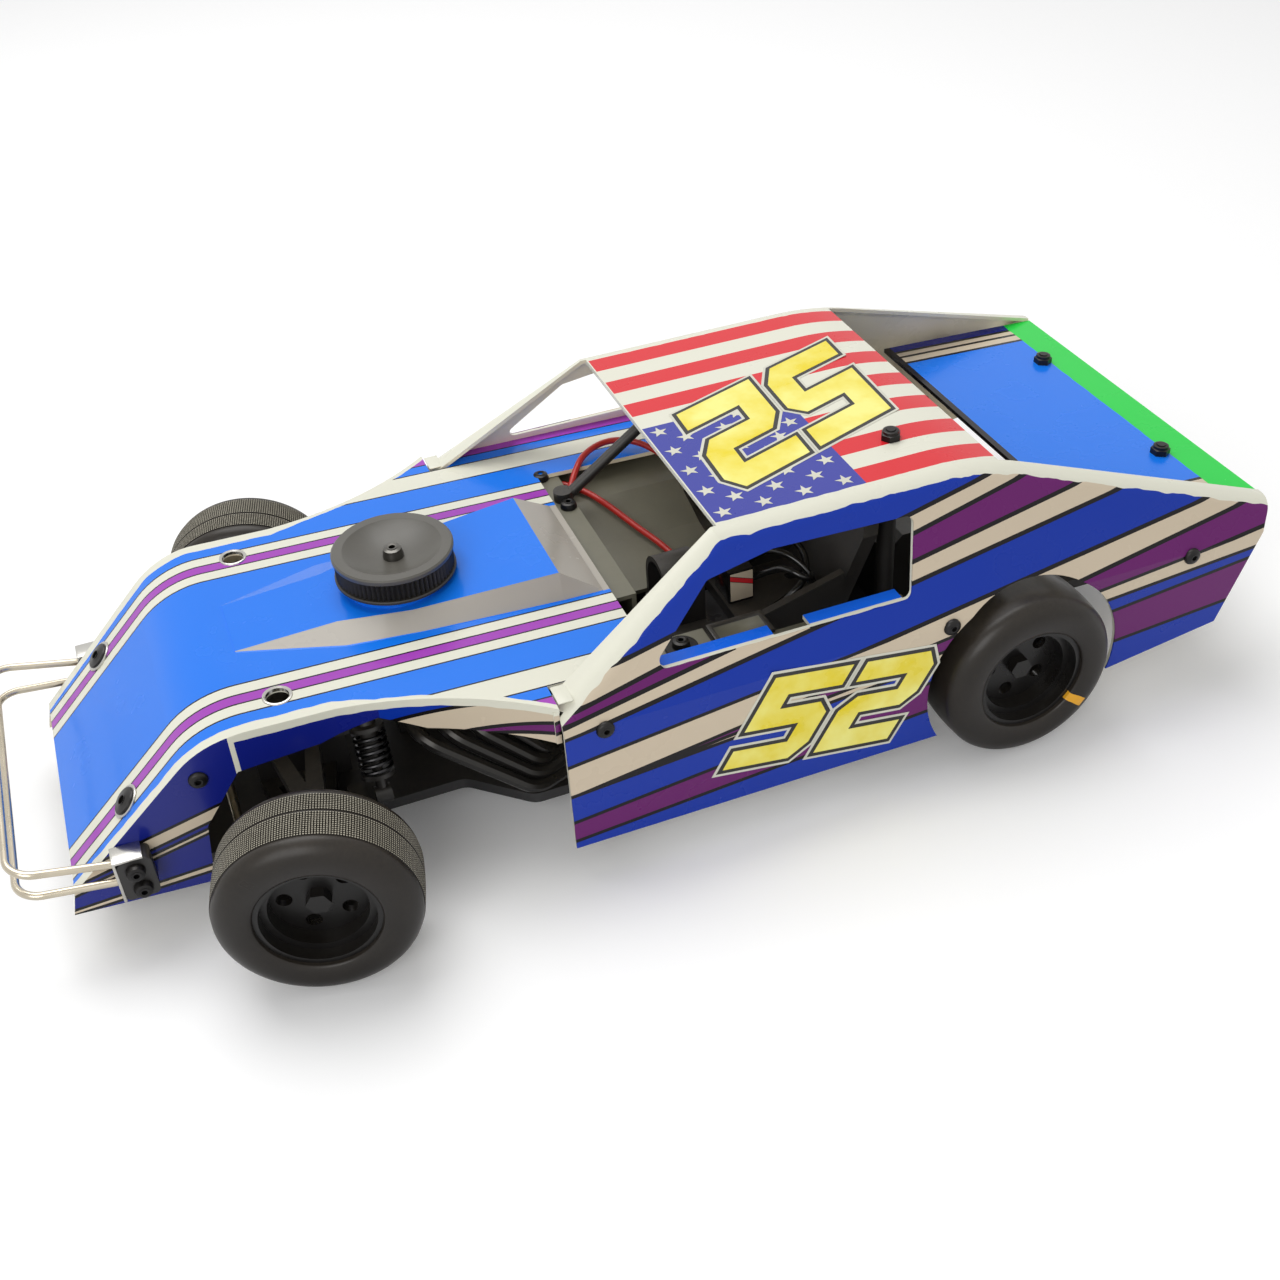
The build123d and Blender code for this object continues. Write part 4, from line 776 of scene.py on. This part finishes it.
def rubber(name, low, high, dull, glossy, dust):
    """A rubber whose tone drifts between two colours, with dust on top."""
    material, tree, shader = new_finish(name, high, dull, specular=0.3)
    waver = skinned(tree, shader, RUBBER_GRAIN, dull, glossy, 0.02)["Waver"]
    tone = use(tree, skin, {"Scale": RUBBER_TONE})["Height"]
    dusty = use(tree, grit, {"Amount": dust})["Mask"]
    colour = mix(dusty, mix(tone, low, high), DUST)
    paint(shader, colour)
    return material, shader, colour, waver


tread_rubber = rubber("tread_rubber", ink(142, 138, 124), ink(188, 183, 166), 0.7, 0.55, 0.2)[0]
wall_rubber, shader, colour, waver = rubber("wall_rubber", ink(18, 15, 13), ink(36, 31, 27), 0.42, 0.26, 0.10)
place = use(colour.tree, ruler)
aside, above = place["Along"] - DAB["x"], place["Up"] - DAB["z"]
reach = aside * cos(DAB["turn"]) + above * sin(DAB["turn"])
off = aside * -sin(DAB["turn"]) + above * cos(DAB["turn"]) + waver * DAB_WAVE
dab = reach.calc("COMPARE", DAB["middle"], DAB["reach"]) & off.calc("COMPARE", 0.0, DAB["half"])
dab = dab & (place["Across"] > DAB["y"])
paint(shader, mix(dab, colour, DAB_YELLOW))
print("rubbers:", tread_rubber.name, wall_rubber.name)

# %% Section of the tyres
TYRE_R, TREAD_HALF = 20.0, 5.4
WALL_R, SHOULDER = 15.0, (4.7, 3.6)
BEAD_CURVE = (2.96, 0.9)


def sidewall(hand):
    """Half section of one side: from the bead over the widest place to the edge of the tread."""
    wide = (TREAD_HALF + SHOULDER[1] - BEAD_CURVE[1]) * hand
    bead = arc((WALL_R, wide), (BEAD_CURVE[0], BEAD_CURVE[1] * hand), 180, 90, 6)
    return bead + arc((WALL_R, TREAD_HALF * hand), (SHOULDER[0], SHOULDER[1] * hand), 90, 8, 10)[1:]


def tyre_profile(tread_r, edge_r, rows):
    """Closed half section of a tyre; its tread falls in a low crown from the middle to the edges."""
    inboard, outboard = sidewall(-1), sidewall(1)
    shares = [2 * i / rows - 1 for i in range(rows + 1)]
    tread = [(tread_r + (edge_r - tread_r) * share ** 2, TREAD_HALF * share) for share in shares]
    return inboard + tread + outboard[::-1] + inboard[:1]


print("sidewall points:", len(sidewall(1)))

# %% Treaded and slick tyres
TREAD_ROWS, TREAD_STEPS, PARTING_ROW = 22, 240, 9
TREAD_RISE, TREAD_GAP = 0.25, 0.11
SLICK_ROWS, SLICK_STEPS = 8, 96
EDGE_R = WALL_R + SHOULDER[0]


def on_tread(face):
    """Whether a face belongs to the tread, and not to the parting line round it."""
    height = face.center.z / MM
    row = int((height / TREAD_HALF + 1) / 2 * TREAD_ROWS)
    outer = hypot(face.center.x, face.center.y) / MM > TYRE_R - 3 * TREAD_RISE
    return outer and abs(height) < TREAD_HALF and row != PARTING_ROW


treaded = turned(tyre_profile(TYRE_R - TREAD_RISE, EDGE_R - TREAD_RISE / 2, TREAD_ROWS), TREAD_STEPS)
slick = turned(tyre_profile(TYRE_R, EDGE_R, SLICK_ROWS), SLICK_STEPS)
pick(treaded, "FACE", on_tread)
bpy.ops.mesh.inset(thickness=TREAD_GAP * MM, depth=TREAD_RISE * MM, use_individual=True)
mode("OBJECT")
two_tone(treaded, wall_rubber, tread_rubber)
slick.data.materials.append(wall_rubber)
for end, master in (("front", treaded), ("rear", slick)):
    for side, hand in SIDES:
        wheel = end + "_" + side
        axle = next(j["axis"] for j in frame["joints"] if j["name"] == "roll_" + wheel)
        low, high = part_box("tyre_" + wheel)
        tyre = planted(master, "tyre_dressed_" + wheel, facing_to((low + high) / 2, hand * Vector(axle)))
        smooth(tyre, 40.0)
        dressed(tyre, None, "tyre_rubber", "tyre_" + wheel, body="wheel_" + wheel)
print("treaded tyre:", len(treaded.data.polygons), "faces; slick:", len(slick.data.polygons))
dropped(treaded, slick)

# %% [markdown]
# ## Race numbers
# Doors and roof carry the same two digits, cut from film: yellow that fades, a black outline and a white
# border. Ordinary lettering looks too round for a race car, so each digit is a flat closed line with
# straight cuts. Blender fills such a line, and its offset grows it for outline and border. Each layer lies
# a hair above the last, as stickers do, and becomes a mesh before it is moved to its panel.

# %% Digits and their films
# Corners of each digit, as shares of its width and height
FIVE = [(0, 1), (1, 1), (1, 0.79), (0.3, 0.79), (0.3, 0.62), (0.84, 0.62), (1, 0.49), (1, 0.16), (0.84, 0),
        (0, 0), (0, 0.2), (0.7, 0.2), (0.7, 0.42), (0, 0.42)]
TWO = [(0, 1), (0.84, 1), (1, 0.84), (1, 0.54), (0.86, 0.41), (0.3, 0.41), (0.3, 0.21), (1, 0.21), (1, 0),
       (0, 0), (0, 0.46), (0.16, 0.6), (0.7, 0.6), (0.7, 0.79), (0, 0.79)]
YELLOWS = {"deep": ink(234, 212, 28), "pale": ink(246, 240, 138)}
FADE_RANGE = (0.36, 0.62)

number_yellow, tree, shader = new_finish("number_yellow", YELLOWS["deep"], 0.36, specular=0.35)
surface = skinned(tree, shader, FILM_SCALE, 0.36, 0.24, 0.014)
fade = surface["Smudge"].ranged(*FADE_RANGE)
paint(shader, mix(fade, YELLOWS["deep"], YELLOWS["pale"]))
# Layers from the panel outwards: name, film, how far the outline grows and how thick it is, in millimetres
LAYERS = [
    ("border", plain["white_sheet"], 1.6, 0.06),
    ("outline", plain["number_black"], 1.0, 0.10),
    ("face", number_yellow, 0.1, 0.14),
]
print("number layers:", [layer[0] for layer in LAYERS])

# %% Numbers on the doors and the roof
DIGIT_GAP = 3.4
left, right, up, leftward = Vector((-1, 0, 0)), Vector((1, 0, 0)), Vector((0, 0, 1)), Vector((0, 1, 0))
# Name, middle, width and height, slant, the ways that read right and up, and the turn on the panel
NUMBERS = [
    ("door_left", (-106.8, 52.62, 25.2), (38, 21.5), 0.42, (left, up), radians(-8)),
    ("door_right", (-106.8, -52.62, 25.2), (38, 21.5), 0.42, (right, up), radians(-8)),
    ("roof", (-118.4, 4.0, 66.82), (46, 31), 0.41, (right, leftward), radians(20)),
]


def digit_film(corners, start, width, tall, slant, grow, thick):
    """One digit as a flat filled curve, grown and thickened for its layer, then made a mesh."""
    line = bpy.data.curves.new("digit", "CURVE")
    line.dimensions = "2D"
    line.fill_mode = "BOTH"
    line.offset = grow * MM
    line.extrude = thick * MM
    run = line.splines.new("POLY")
    run.points.add(len(corners) - 1)
    run.use_cyclic_u = True
    for point, (across_share, up_share) in zip(run.points, corners):
        rise = (up_share - 0.5) * tall
        point.co = ((start + across_share * width + slant * rise) * MM, rise * MM, 0, 1)
    return meshed("digit", line)


for name, middle, (wide, tall), slant, (reads, rises), turn in NUMBERS:
    basis = Matrix((reads, rises, reads.cross(rises))).transposed().to_4x4()
    panel = Matrix.Translation(at(*middle)) @ basis @ Matrix.Rotation(turn, 4, "Z")
    digit_w = (wide - DIGIT_GAP) / 2
    for layer, ink_film, grow, thick in LAYERS:
        digits = [digit_film(corners, start, digit_w, tall, slant, grow, thick)
                  for start, corners in ((-wide / 2, FIVE), (DIGIT_GAP / 2, TWO))]
        sticker = joined("number_" + name + "_" + layer, digits)
        sticker.data.transform(panel)
        mode("EDIT")
        tidy_mesh()
        dressed(sticker, ink_film, "wrapped_sheet")
    print(name, "number", [round(v / MM, 1) for v in sticker.dimensions])

# %% [markdown]
# ## Stars
# The canton's stars are white film too. A circle of ten points becomes a star when every other point is
# pulled in. One star is planted in staggered rows, which are joined into one piece.

# %% Stars on the canton
STAR_R, STAR_WAIST, STAR_T = 2.0, 0.4, 0.05
STAR_COLUMNS, STAR_ROWS = 7, 5
STAR_START, STAR_STEP_X, STAR_STEP_Y = (-91.4, -0.1), 4.4, 8.5
STAR_Z = 66.81

chosen()
bpy.ops.mesh.primitive_circle_add(vertices=10, radius=STAR_R * MM, fill_type="NGON")
star = bpy.context.object
pick(star, "VERT", lambda point: point.index % 2 == 1)
bpy.ops.transform.resize(value=(STAR_WAIST, STAR_WAIST, 1))
bpy.ops.mesh.select_all(action="SELECT")
extrude((0, 0, STAR_T * MM))
tidy_mesh()
stars = []
for column in range(STAR_COLUMNS):
    odd = column % 2
    for row in range(STAR_ROWS - odd):
        x = STAR_START[0] - column * STAR_STEP_X
        y = STAR_START[1] + (row + 0.5 * odd) * STAR_STEP_Y
        turn = Matrix.Rotation(pi, 4, "Z")
        stars.append(planted(star, "star", Matrix.Translation(at(x, y, STAR_Z)) @ turn))
print("stars:", len(stars))
dressed(joined("canton_stars", stars), plain["white_sheet"], "wrapped_sheet")
dropped(star)

# %% [markdown]
# ## Screws, nuts and eyelets
# Small button-head screws hold the sheets, nylon nuts hold the deck, and bright eyelets line the holes in
# the hood. Each kind is turned once from a half section, with a hollow for the key, and planted square on
# the sheet it goes through.

# %% Masters for the fasteners
SUNK = -0.2


def button_screw(radius, height, socket):
    """A button-head screw that stands on the sheet at height 0, with a socket in its crown."""
    sphere = 2.2 * radius
    crown = arc((0, height - sphere), (sphere, sphere), 62, 82, 4)
    rim = [(radius, SUNK), (radius, 0.25 * height), (0.93 * radius, 0.5 * height)]
    dome = [(r, h) for r, h in crown if r < 0.9 * radius and h > 0.5 * height]
    hollow = [(socket, height), (socket, 0.3 * height), (0, 0.2 * height)]
    return smooth(turned([(0, SUNK)] + rim + dome + hollow, 24))


def lock_nut(radius, height):
    """A hexagonal nut with a round nylon collar and a stud in the middle."""
    hexagon = turned([(0, SUNK), (radius, SUNK), (radius, 0.62 * height), (0.86 * radius, 0.7 * height),
                      (0, 0.7 * height)], 6)
    collar = turned([(0.8 * radius, 0.6 * height), (0.78 * radius, 0.95 * height), (0.66 * radius, height),
                     (0.5 * radius, height), (0.5 * radius, 0.8 * height), (0.44 * radius, 1.1 * height),
                     (0, 1.1 * height)], 20)
    return smooth(joined("lock_nut", [hexagon, collar]))


WASHER = [(0.9, 0), (3.5, 0), (3.5, 0.3), (3.3, 0.45), (0.9, 0.45), (0.9, 0)]
EYELET = [(2.3, -0.6), (2.3, 0.1), (2.6, 0.3), (2.9, 0.25), (3, 0), (2.9, -0.05), (2.4, -0.6), (2.3, -0.6)]
masters = {
    "screw": button_screw(1.9, 1.0, 0.85), "wide_screw": button_screw(2.9, 0.8, 1.1),
    "cap_screw": button_screw(1.9, 1.6, 1.0), "nut": lock_nut(2.2, 2.1),
    "washer": smooth(turned(WASHER, 32)), "eyelet": smooth(turned(EYELET, 32)),
}
print("fastener masters:", list(masters))

# %% Fasteners where the sheets are held
NOSE_SLOPE = (29.7, 0, 31.1)
OUTWARD, UPWARD = (0, 1, 0), (0, 0, 1)
# Name, master, finish, place on the left side and the way it faces; each is mirrored to the right
FASTENERS = [
    ("door_screw_front", "screw", "screw_black", (-57.8, 52.6, 37.6), OUTWARD),
    ("door_screw_middle", "screw", "screw_black", (-133.6, 52.6, 37.6), OUTWARD),
    ("door_screw_tail", "screw", "screw_black", (-191.8, 52.6, 37.6), OUTWARD),
    ("nose_washer", "washer", "screw_bright", (31.9, 24.9, 29.9), NOSE_SLOPE),
    ("nose_screw", "wide_screw", "screw_black", (32.2, 24.9, 30.2), NOSE_SLOPE),
    ("nose_side_screw", "screw", "screw_black", (17.6, 33.42, 37.4), (0.08, 1, 0)),
    ("bracket_screw_high", "cap_screw", "screw_black", (33.4, 36.9, 22.6), OUTWARD),
    ("bracket_screw_low", "cap_screw", "screw_black", (33.0, 36.9, 18.0), OUTWARD),
    ("deck_nut", "nut", "screw_black", (-202.8, 24.1, 44.85), (-0.045, 0, 1)),
    ("hood_eyelet", "eyelet", "screw_bright", (-0.7, 25.7, 45.76), (-0.029, 0, 1)),
]
for name, kind, finish, (x, y, z), way in FASTENERS:
    for side, hand in SIDES:
        matrix = facing_to(at(x, y * hand, z), (way[0], way[1] * hand, way[2]))
        piece = planted(masters[kind], name + "_" + side, matrix)
        dressed(piece, plain[finish], "black_plastic")
# Name, master and place of the single fasteners in the cockpit and on the roof, which stand upright
LOOSE = [
    ("roof_nut_left", "nut", (-133.6, 23.7, 66.8)),
    ("ledge_washer", "washer", (-79.7, 38.0, 40.0)),
    ("ledge_screw", "cap_screw", (-79.7, 38.0, 40.4)),
    ("shelf_screw_left", "cap_screw", (-75.0, -17.4, 42.5)),
    ("shelf_screw_right", "cap_screw", (-73.0, -31.5, 42.5)),
]
for name, kind, spot in LOOSE:
    piece = planted(masters[kind], name, facing_to(at(*spot), UPWARD))
    dressed(piece, plain["screw_black"], "black_plastic")
print("fasteners planted:", 2 * len(FASTENERS) + len(LOOSE))
dropped(*masters.values())

# %% [markdown]
# ## Bumper clips
# The two wires of the front bumper end in a black block on each side of the nose, under a bent clip of
# bright sheet. The clip is a thin block: its top is pulled back over the bracket by an extrude, and a bevel
# rounds it.

# %% Bumper clips
CLIP_T, CLIP_RISE, CLIP_WIDE = 0.6 * MM, 0.8 * MM, 4.8 * MM
CLIP_ROUNDING, CLIP_REACH = 0.15, 0.8
for side, hand in SIDES:
    low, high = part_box("bumper_bracket_" + side)
    middle_y = (low.y + high.y) / 2
    top = high.z + CLIP_RISE
    clip = cube("bumper_clip_" + side, Vector((high.x, middle_y - CLIP_WIDE / 2, low.z)),
                Vector((high.x + CLIP_T, middle_y + CLIP_WIDE / 2, top)))
    mode("EDIT")
    bpy.ops.mesh.bisect(plane_co=(0, 0, top - CLIP_T), plane_no=(0, 0, 1))
    pick(clip, "FACE", lambda face: face.normal.x < -0.9 and face.center.z > top - CLIP_T)
    extrude((-CLIP_REACH * (high.x - low.x), 0, 0))
    tidy_mesh()
    dressed(rounded(clip, CLIP_ROUNDING), plain["screw_bright"], "wire_steel")
    print(clip.name, [round(v / MM, 1) for v in clip.dimensions])

# %% [markdown]
# ## Air cleaner
# The round air cleaner on the hood has a pressed lid with a bowl, a screw, a pleated black side and a plate
# under it. Lid and plate are turned. The pleats are a cylinder whose every other line of points is pulled
# in.

# %% Lid, screw and under plate
FILTER_X, FILTER_TOP, FILTER_LOW = -31.4, 55.7, 49.6
LID_R, BOWL_R, BOWL_DEPTH, LID_T = 12.7, 10.2, 2.5, 1.2
PLEAT_R, PLATE_T = 12.35, 0.8
BOWL_POINTS, BOWL_CURVE = 10, 2.4
filter_place = at(FILTER_X, 0, 0)

shares = [1 - i / BOWL_POINTS for i in range(BOWL_POINTS + 1)]
bowl = [(BOWL_R * share, FILTER_TOP - BOWL_DEPTH * (1 - share ** BOWL_CURVE) - 0.1) for share in shares]
lid_edge = [(PLEAT_R - 0.8, FILTER_TOP - LID_T), (LID_R - 0.1, FILTER_TOP - LID_T), (LID_R, FILTER_TOP - 0.9),
            (LID_R, FILTER_TOP - 0.35), (LID_R - 0.35, FILTER_TOP), (BOWL_R + 0.15, FILTER_TOP)]
lid = moved(smooth(turned(lid_edge + bowl, 64), 30.0), "filter_lid", filter_place)
dressed(lid, plain["filter_grey"], "wrapped_sheet", "air_cleaner")
bowl_floor = at(FILTER_X, 0, FILTER_TOP - BOWL_DEPTH)
filter_screw = moved(button_screw(2.2, 2.3, 1.15), "filter_screw", bowl_floor)
dressed(filter_screw, plain["stud_steel"], "black_plastic")
plate_edge = [(0, 0), (LID_R - 0.2, 0), (LID_R, 0.2), (LID_R, 0.6), (LID_R - 0.2, PLATE_T), (0, PLATE_T)]
under = moved(smooth(turned(plate_edge, 64)), "filter_under", at(FILTER_X, 0, FILTER_LOW))
dressed(under, plain["black_nylon"], "black_plastic")
print("air cleaner's lid", [round(v / MM, 1) for v in lid.dimensions])

# %% Pleats
PLEATS, PLEAT_IN, PLEAT_WALL, PLEAT_TUCK = 72, 0.94, 1.0, 0.2
pleat_tall = FILTER_TOP - LID_T - FILTER_LOW - PLATE_T + 2 * PLEAT_TUCK

chosen()
bpy.ops.mesh.primitive_cylinder_add(vertices=2 * PLEATS, radius=PLEAT_R * MM, depth=pleat_tall * MM)
pleats = bpy.context.object
pick(pleats, "VERT", lambda point: (point.index // 2) % 2 == 1)
bpy.ops.transform.resize(value=(PLEAT_IN, PLEAT_IN, 1))
pick(pleats, "FACE", lambda face: face.normal.z > 0.9)
bpy.ops.mesh.inset(thickness=PLEAT_WALL * MM)
extrude((0, 0, -BOWL_DEPTH * MM))
tidy_mesh()
moved(pleats, "filter_pleats", at(FILTER_X, 0, FILTER_LOW + PLATE_T - PLEAT_TUCK + pleat_tall / 2))
dressed(pleats, plain["black_nylon"], "black_plastic")
print("pleats:", PLEATS)

# %% [markdown]
# ## Shocks
# Each shock is a damper inside a coil spring. The CAD solids are plain ridged bars, so they get a real coil
# here: a small circle swept along a helix by the Screw modifier. The damper is turned, and its two eyes are
# short tubes.

# %% Spring and damper
SPRING_R, WIRE_R, SPRING_TURNS, SPRING_STEPS = 3.1, 0.42, 6, 24
SPRING_FROM, SPRING_TO = 5.0, 4.5
EYE = [(0.9, -1.7), (1.9, -1.7), (1.9, 1.7), (0.9, 1.7), (0.9, -1.7)]
EYE_REACH, CONE = 1.5, 0.3
PIN_R, ROD_R, BODY_R, CUP_R, CUP_T, CAP_R = 1.2, 1.1, 1.8, 3.4, 0.9, (2.0, 1.6)


def coil_spring(length):
    """A coil of wire that stands on its lower cup."""
    chosen()
    bpy.ops.mesh.primitive_circle_add(vertices=8, radius=WIRE_R * MM, location=(SPRING_R * MM, 0, 0),
                                      rotation=(pi / 2, 0, 0))
    bpy.ops.object.transform_apply(location=True, rotation=True, scale=True)
    spring = bpy.context.object
    coil = spring.modifiers.new("coil", "SCREW")
    coil.iterations = SPRING_TURNS
    coil.screw_offset = (length - SPRING_FROM - SPRING_TO - 2 * WIRE_R) / SPRING_TURNS * MM
    coil.steps = coil.render_steps = SPRING_STEPS
    coil.use_merge_vertices = False
    bpy.ops.object.modifier_apply(modifier="coil")
    mode("EDIT")
    bpy.ops.mesh.select_all(action="SELECT")
    bpy.ops.mesh.fill_holes(sides=0)
    tidy_mesh()
    return moved(spring, "spring", (0, 0, (SPRING_FROM + WIRE_R) * MM))


def damper_section(length):
    """Half section of a damper from its lower eye to its upper one."""
    middle, top, head = length / 2, length - SPRING_TO, length - EYE_REACH
    return [(0, EYE_REACH), (PIN_R, EYE_REACH), (PIN_R, SPRING_FROM - CUP_T - CONE),
            (CUP_R, SPRING_FROM - CUP_T), (CUP_R, SPRING_FROM), (ROD_R, SPRING_FROM), (ROD_R, middle),
            (BODY_R, middle + CONE), (BODY_R, top), (CUP_R, top), (CUP_R, top + CUP_T),
            (CAP_R[0], top + CUP_T + CONE), (CAP_R[1], head), (0, head)]


print("springs have", SPRING_TURNS, "turns")

# %% Shocks in their places
# End, place along the car, then distance from the middle and height of the lower and of the upper eye
SHOCKS = [
    ("front", -16.3, (30.0, 17.5), (23.0, 35.0)),
    ("rear", -170.7, (27.0, 18.5), (27.0, 39.5)),
]
for end, x, low, high in SHOCKS:
    length = hypot(high[0] - low[0], high[1] - low[1])
    spring = coil_spring(length)
    spring.data.materials.append(plain["spring_steel"])
    mouldings = [turned(damper_section(length), 24), turned(EYE, 20), turned(EYE, 20)]
    for eye, rise in zip(mouldings[1:], (0, length)):
        eye.data.transform(Matrix.Translation((0, 0, rise * MM)) @ Matrix.Rotation(pi / 2, 4, "Y"))
    for part in mouldings:
        part.data.materials.append(plain["black_nylon"])
    shock = smooth(joined("shock", [spring] + mouldings), 40.0)
    for side, hand in SIDES:
        foot, head = [at(x, y * hand, z) for y, z in (low, high)]
        lean, cross = (head - foot).normalized(), Vector((1, 0, 0))
        basis = Matrix((cross, lean.cross(cross), lean)).transposed().to_4x4()
        name = end + "_shock_" + side
        piece = planted(shock, "coil_" + name, Matrix.Translation(foot) @ basis)
        dressed(piece, None, "shock_spring", name)
    print(end, "shock length", round(length, 1))
    dropped(shock)

# %% [markdown]
# ## Cockpit fittings
# Through the side window one sees a cover plate on the ledge and the radio's little box with a printed
# card. Tape closes the corner between hood and pillar, and the seam between hood and door. Each starts as a
# block with rounded edges. The plate's top is inset and pushed down, which leaves a rim, and its floor
# takes the tray's finish as a second material.

# %% Plate, radio box and card
COVER = {"low": (-99.0, 34.3, 39.9), "high": (-86.5, 41.6, 40.9), "rim": 0.8, "sunk": 0.5}
RADIO = {"low": (-104.0, 12.0, 32.5), "high": (-98.0, 20.0, 41.0)}
CARD = {"low": (-103.6, 19.95, 33.4), "high": (-98.4, 20.2, 40.4), "line": 0.15}
CARD_BANDS = [(RED, 36.6, 38.9, 37.9, 40.2)]


def block(name, box, rounding):
    """A block with rounded edges between two corners, in millimetres from the nose datum."""
    return rounded(cube(name, at(*box["low"]), at(*box["high"])), rounding)


cover = block("ledge_cover", COVER, 0.25)
pick(cover, "FACE", lambda face: face.normal.z > 0.99)
bpy.ops.mesh.inset(thickness=COVER["rim"] * MM)
extrude((0, 0, -COVER["sunk"] * MM))
mode("OBJECT")
two_tone(cover, plain["black_nylon"], plain["tray_sheet"])
dressed(cover, None, "black_plastic")
dressed(block("radio_box", RADIO, 0.5), plain["lead_black"], "black_plastic")

card_print, tree, shader = new_finish("card_print", CREAM, 0.5)
skinned(tree, shader, 700.0, 0.55, 0.45, 0.01)
place = use(tree, ruler)
card_share = (place["Along"] - RADIO["low"][0]) / (RADIO["high"][0] - RADIO["low"][0])
paint(shader, banded(CREAM, card_share, place["Up"], CARD_BANDS, CARD["line"]))
dressed(block("radio_card", CARD, 0.06), card_print, "wrapped_sheet")
print("plate, radio box and card made")

# %% Tape at the corners of hood and doors
# Name, film and two corners on the left side; each is mirrored to the right
TAPES = [
    ("pillar_tape", door_film, (-53.0, 44.2, 44.25), (-49.9, 49.6, 44.5)),
    ("seam_tape", hood_film, (-49.65, 49.4, 35.5), (-48.5, 50.5, 43.3)),
]
for name, tape_film, (x0, y0, z0), (x1, y1, z1) in TAPES:
    for side, hand in SIDES:
        near, far = sorted((y0 * hand, y1 * hand))
        piece = block(name + "_" + side, {"low": (x0, near, z0), "high": (x1, far, z1)}, 0.1)
        dressed(piece, tape_film, "wrapped_sheet")
print("pieces of tape:", 2 * len(TAPES))

# %% [markdown]
# ## Leads
# Two red silicone leads run over the interior tray, and three black ones loop from the radio box to the
# seat pan. A lead is held at both ends: a smooth curve through the places where it is clipped, with a round
# section, made a mesh at the end. The red ones take the place of the simpler CAD leads.

# %% Leads
LEAD_R = 0.75
LEADS = [
    ("motor_lead", "lead_red", [
        (-77.8, -25.5, 41), (-80.6, -29.2, 43.6), (-84.5, -33.5, 45.2), (-91.5, -36.8, 45.3),
        (-98, -33.5, 45.1), (-102, -27, 43.6), (-106, -21, 41), (-111.5, -17.5, 38.6),
        (-116, -16, 36.9)]),
    ("battery_lead", "lead_red", [
        (-77.8, -30.5, 40.3), (-81.2, -27, 40.1), (-85, -20, 38.8), (-89, -12.5, 36.1),
        (-92.5, -5, 34.6), (-94.4, 2, 33.3), (-95, 7.5, 31.8), (-95.2, 10.5, 30.5)]),
    ("radio_lead_long", "lead_black", [
        (-103.2, 15, 38), (-106.5, 17, 42.5), (-110, 21, 44), (-113.5, 25, 41.5),
        (-115, 28, 37), (-114.5, 29, 32)]),
    ("radio_lead_looped", "lead_black", [
        (-103.2, 18, 36.5), (-107, 21.5, 40), (-109, 26, 43), (-112, 29.4, 41),
        (-115.2, 26, 39.5), (-115.4, 20, 36), (-114, 15, 32)]),
    ("radio_lead_short", "lead_black", [
        (-103.2, 13.5, 40), (-108, 12.5, 43.5), (-113, 16, 45), (-116, 21, 41.5),
        (-113.5, 25.5, 38), (-109, 27, 36), (-106.5, 24, 32)]),
]
for name, finish, route in LEADS:
    line = bpy.data.curves.new(name + "_line", "CURVE")
    line.dimensions = "3D"
    line.bevel_depth = LEAD_R * MM
    line.bevel_resolution = 4
    line.use_fill_caps = True
    run = line.splines.new("NURBS")
    run.points.add(len(route) - 1)
    for point, clip_place in zip(run.points, route):
        point.co = (*at(*clip_place), 1.0)
    run.order_u = 3
    run.use_endpoint_u = True
    run.resolution_u = 8
    lead = smooth(meshed(name + "_silicone", line))
    slot, stands_for = ("wire_red", [name]) if name in nodes else ("black_plastic", [])
    dressed(lead, plain[finish], slot, *stands_for)
print("leads:", [name for name, finish, route in LEADS])
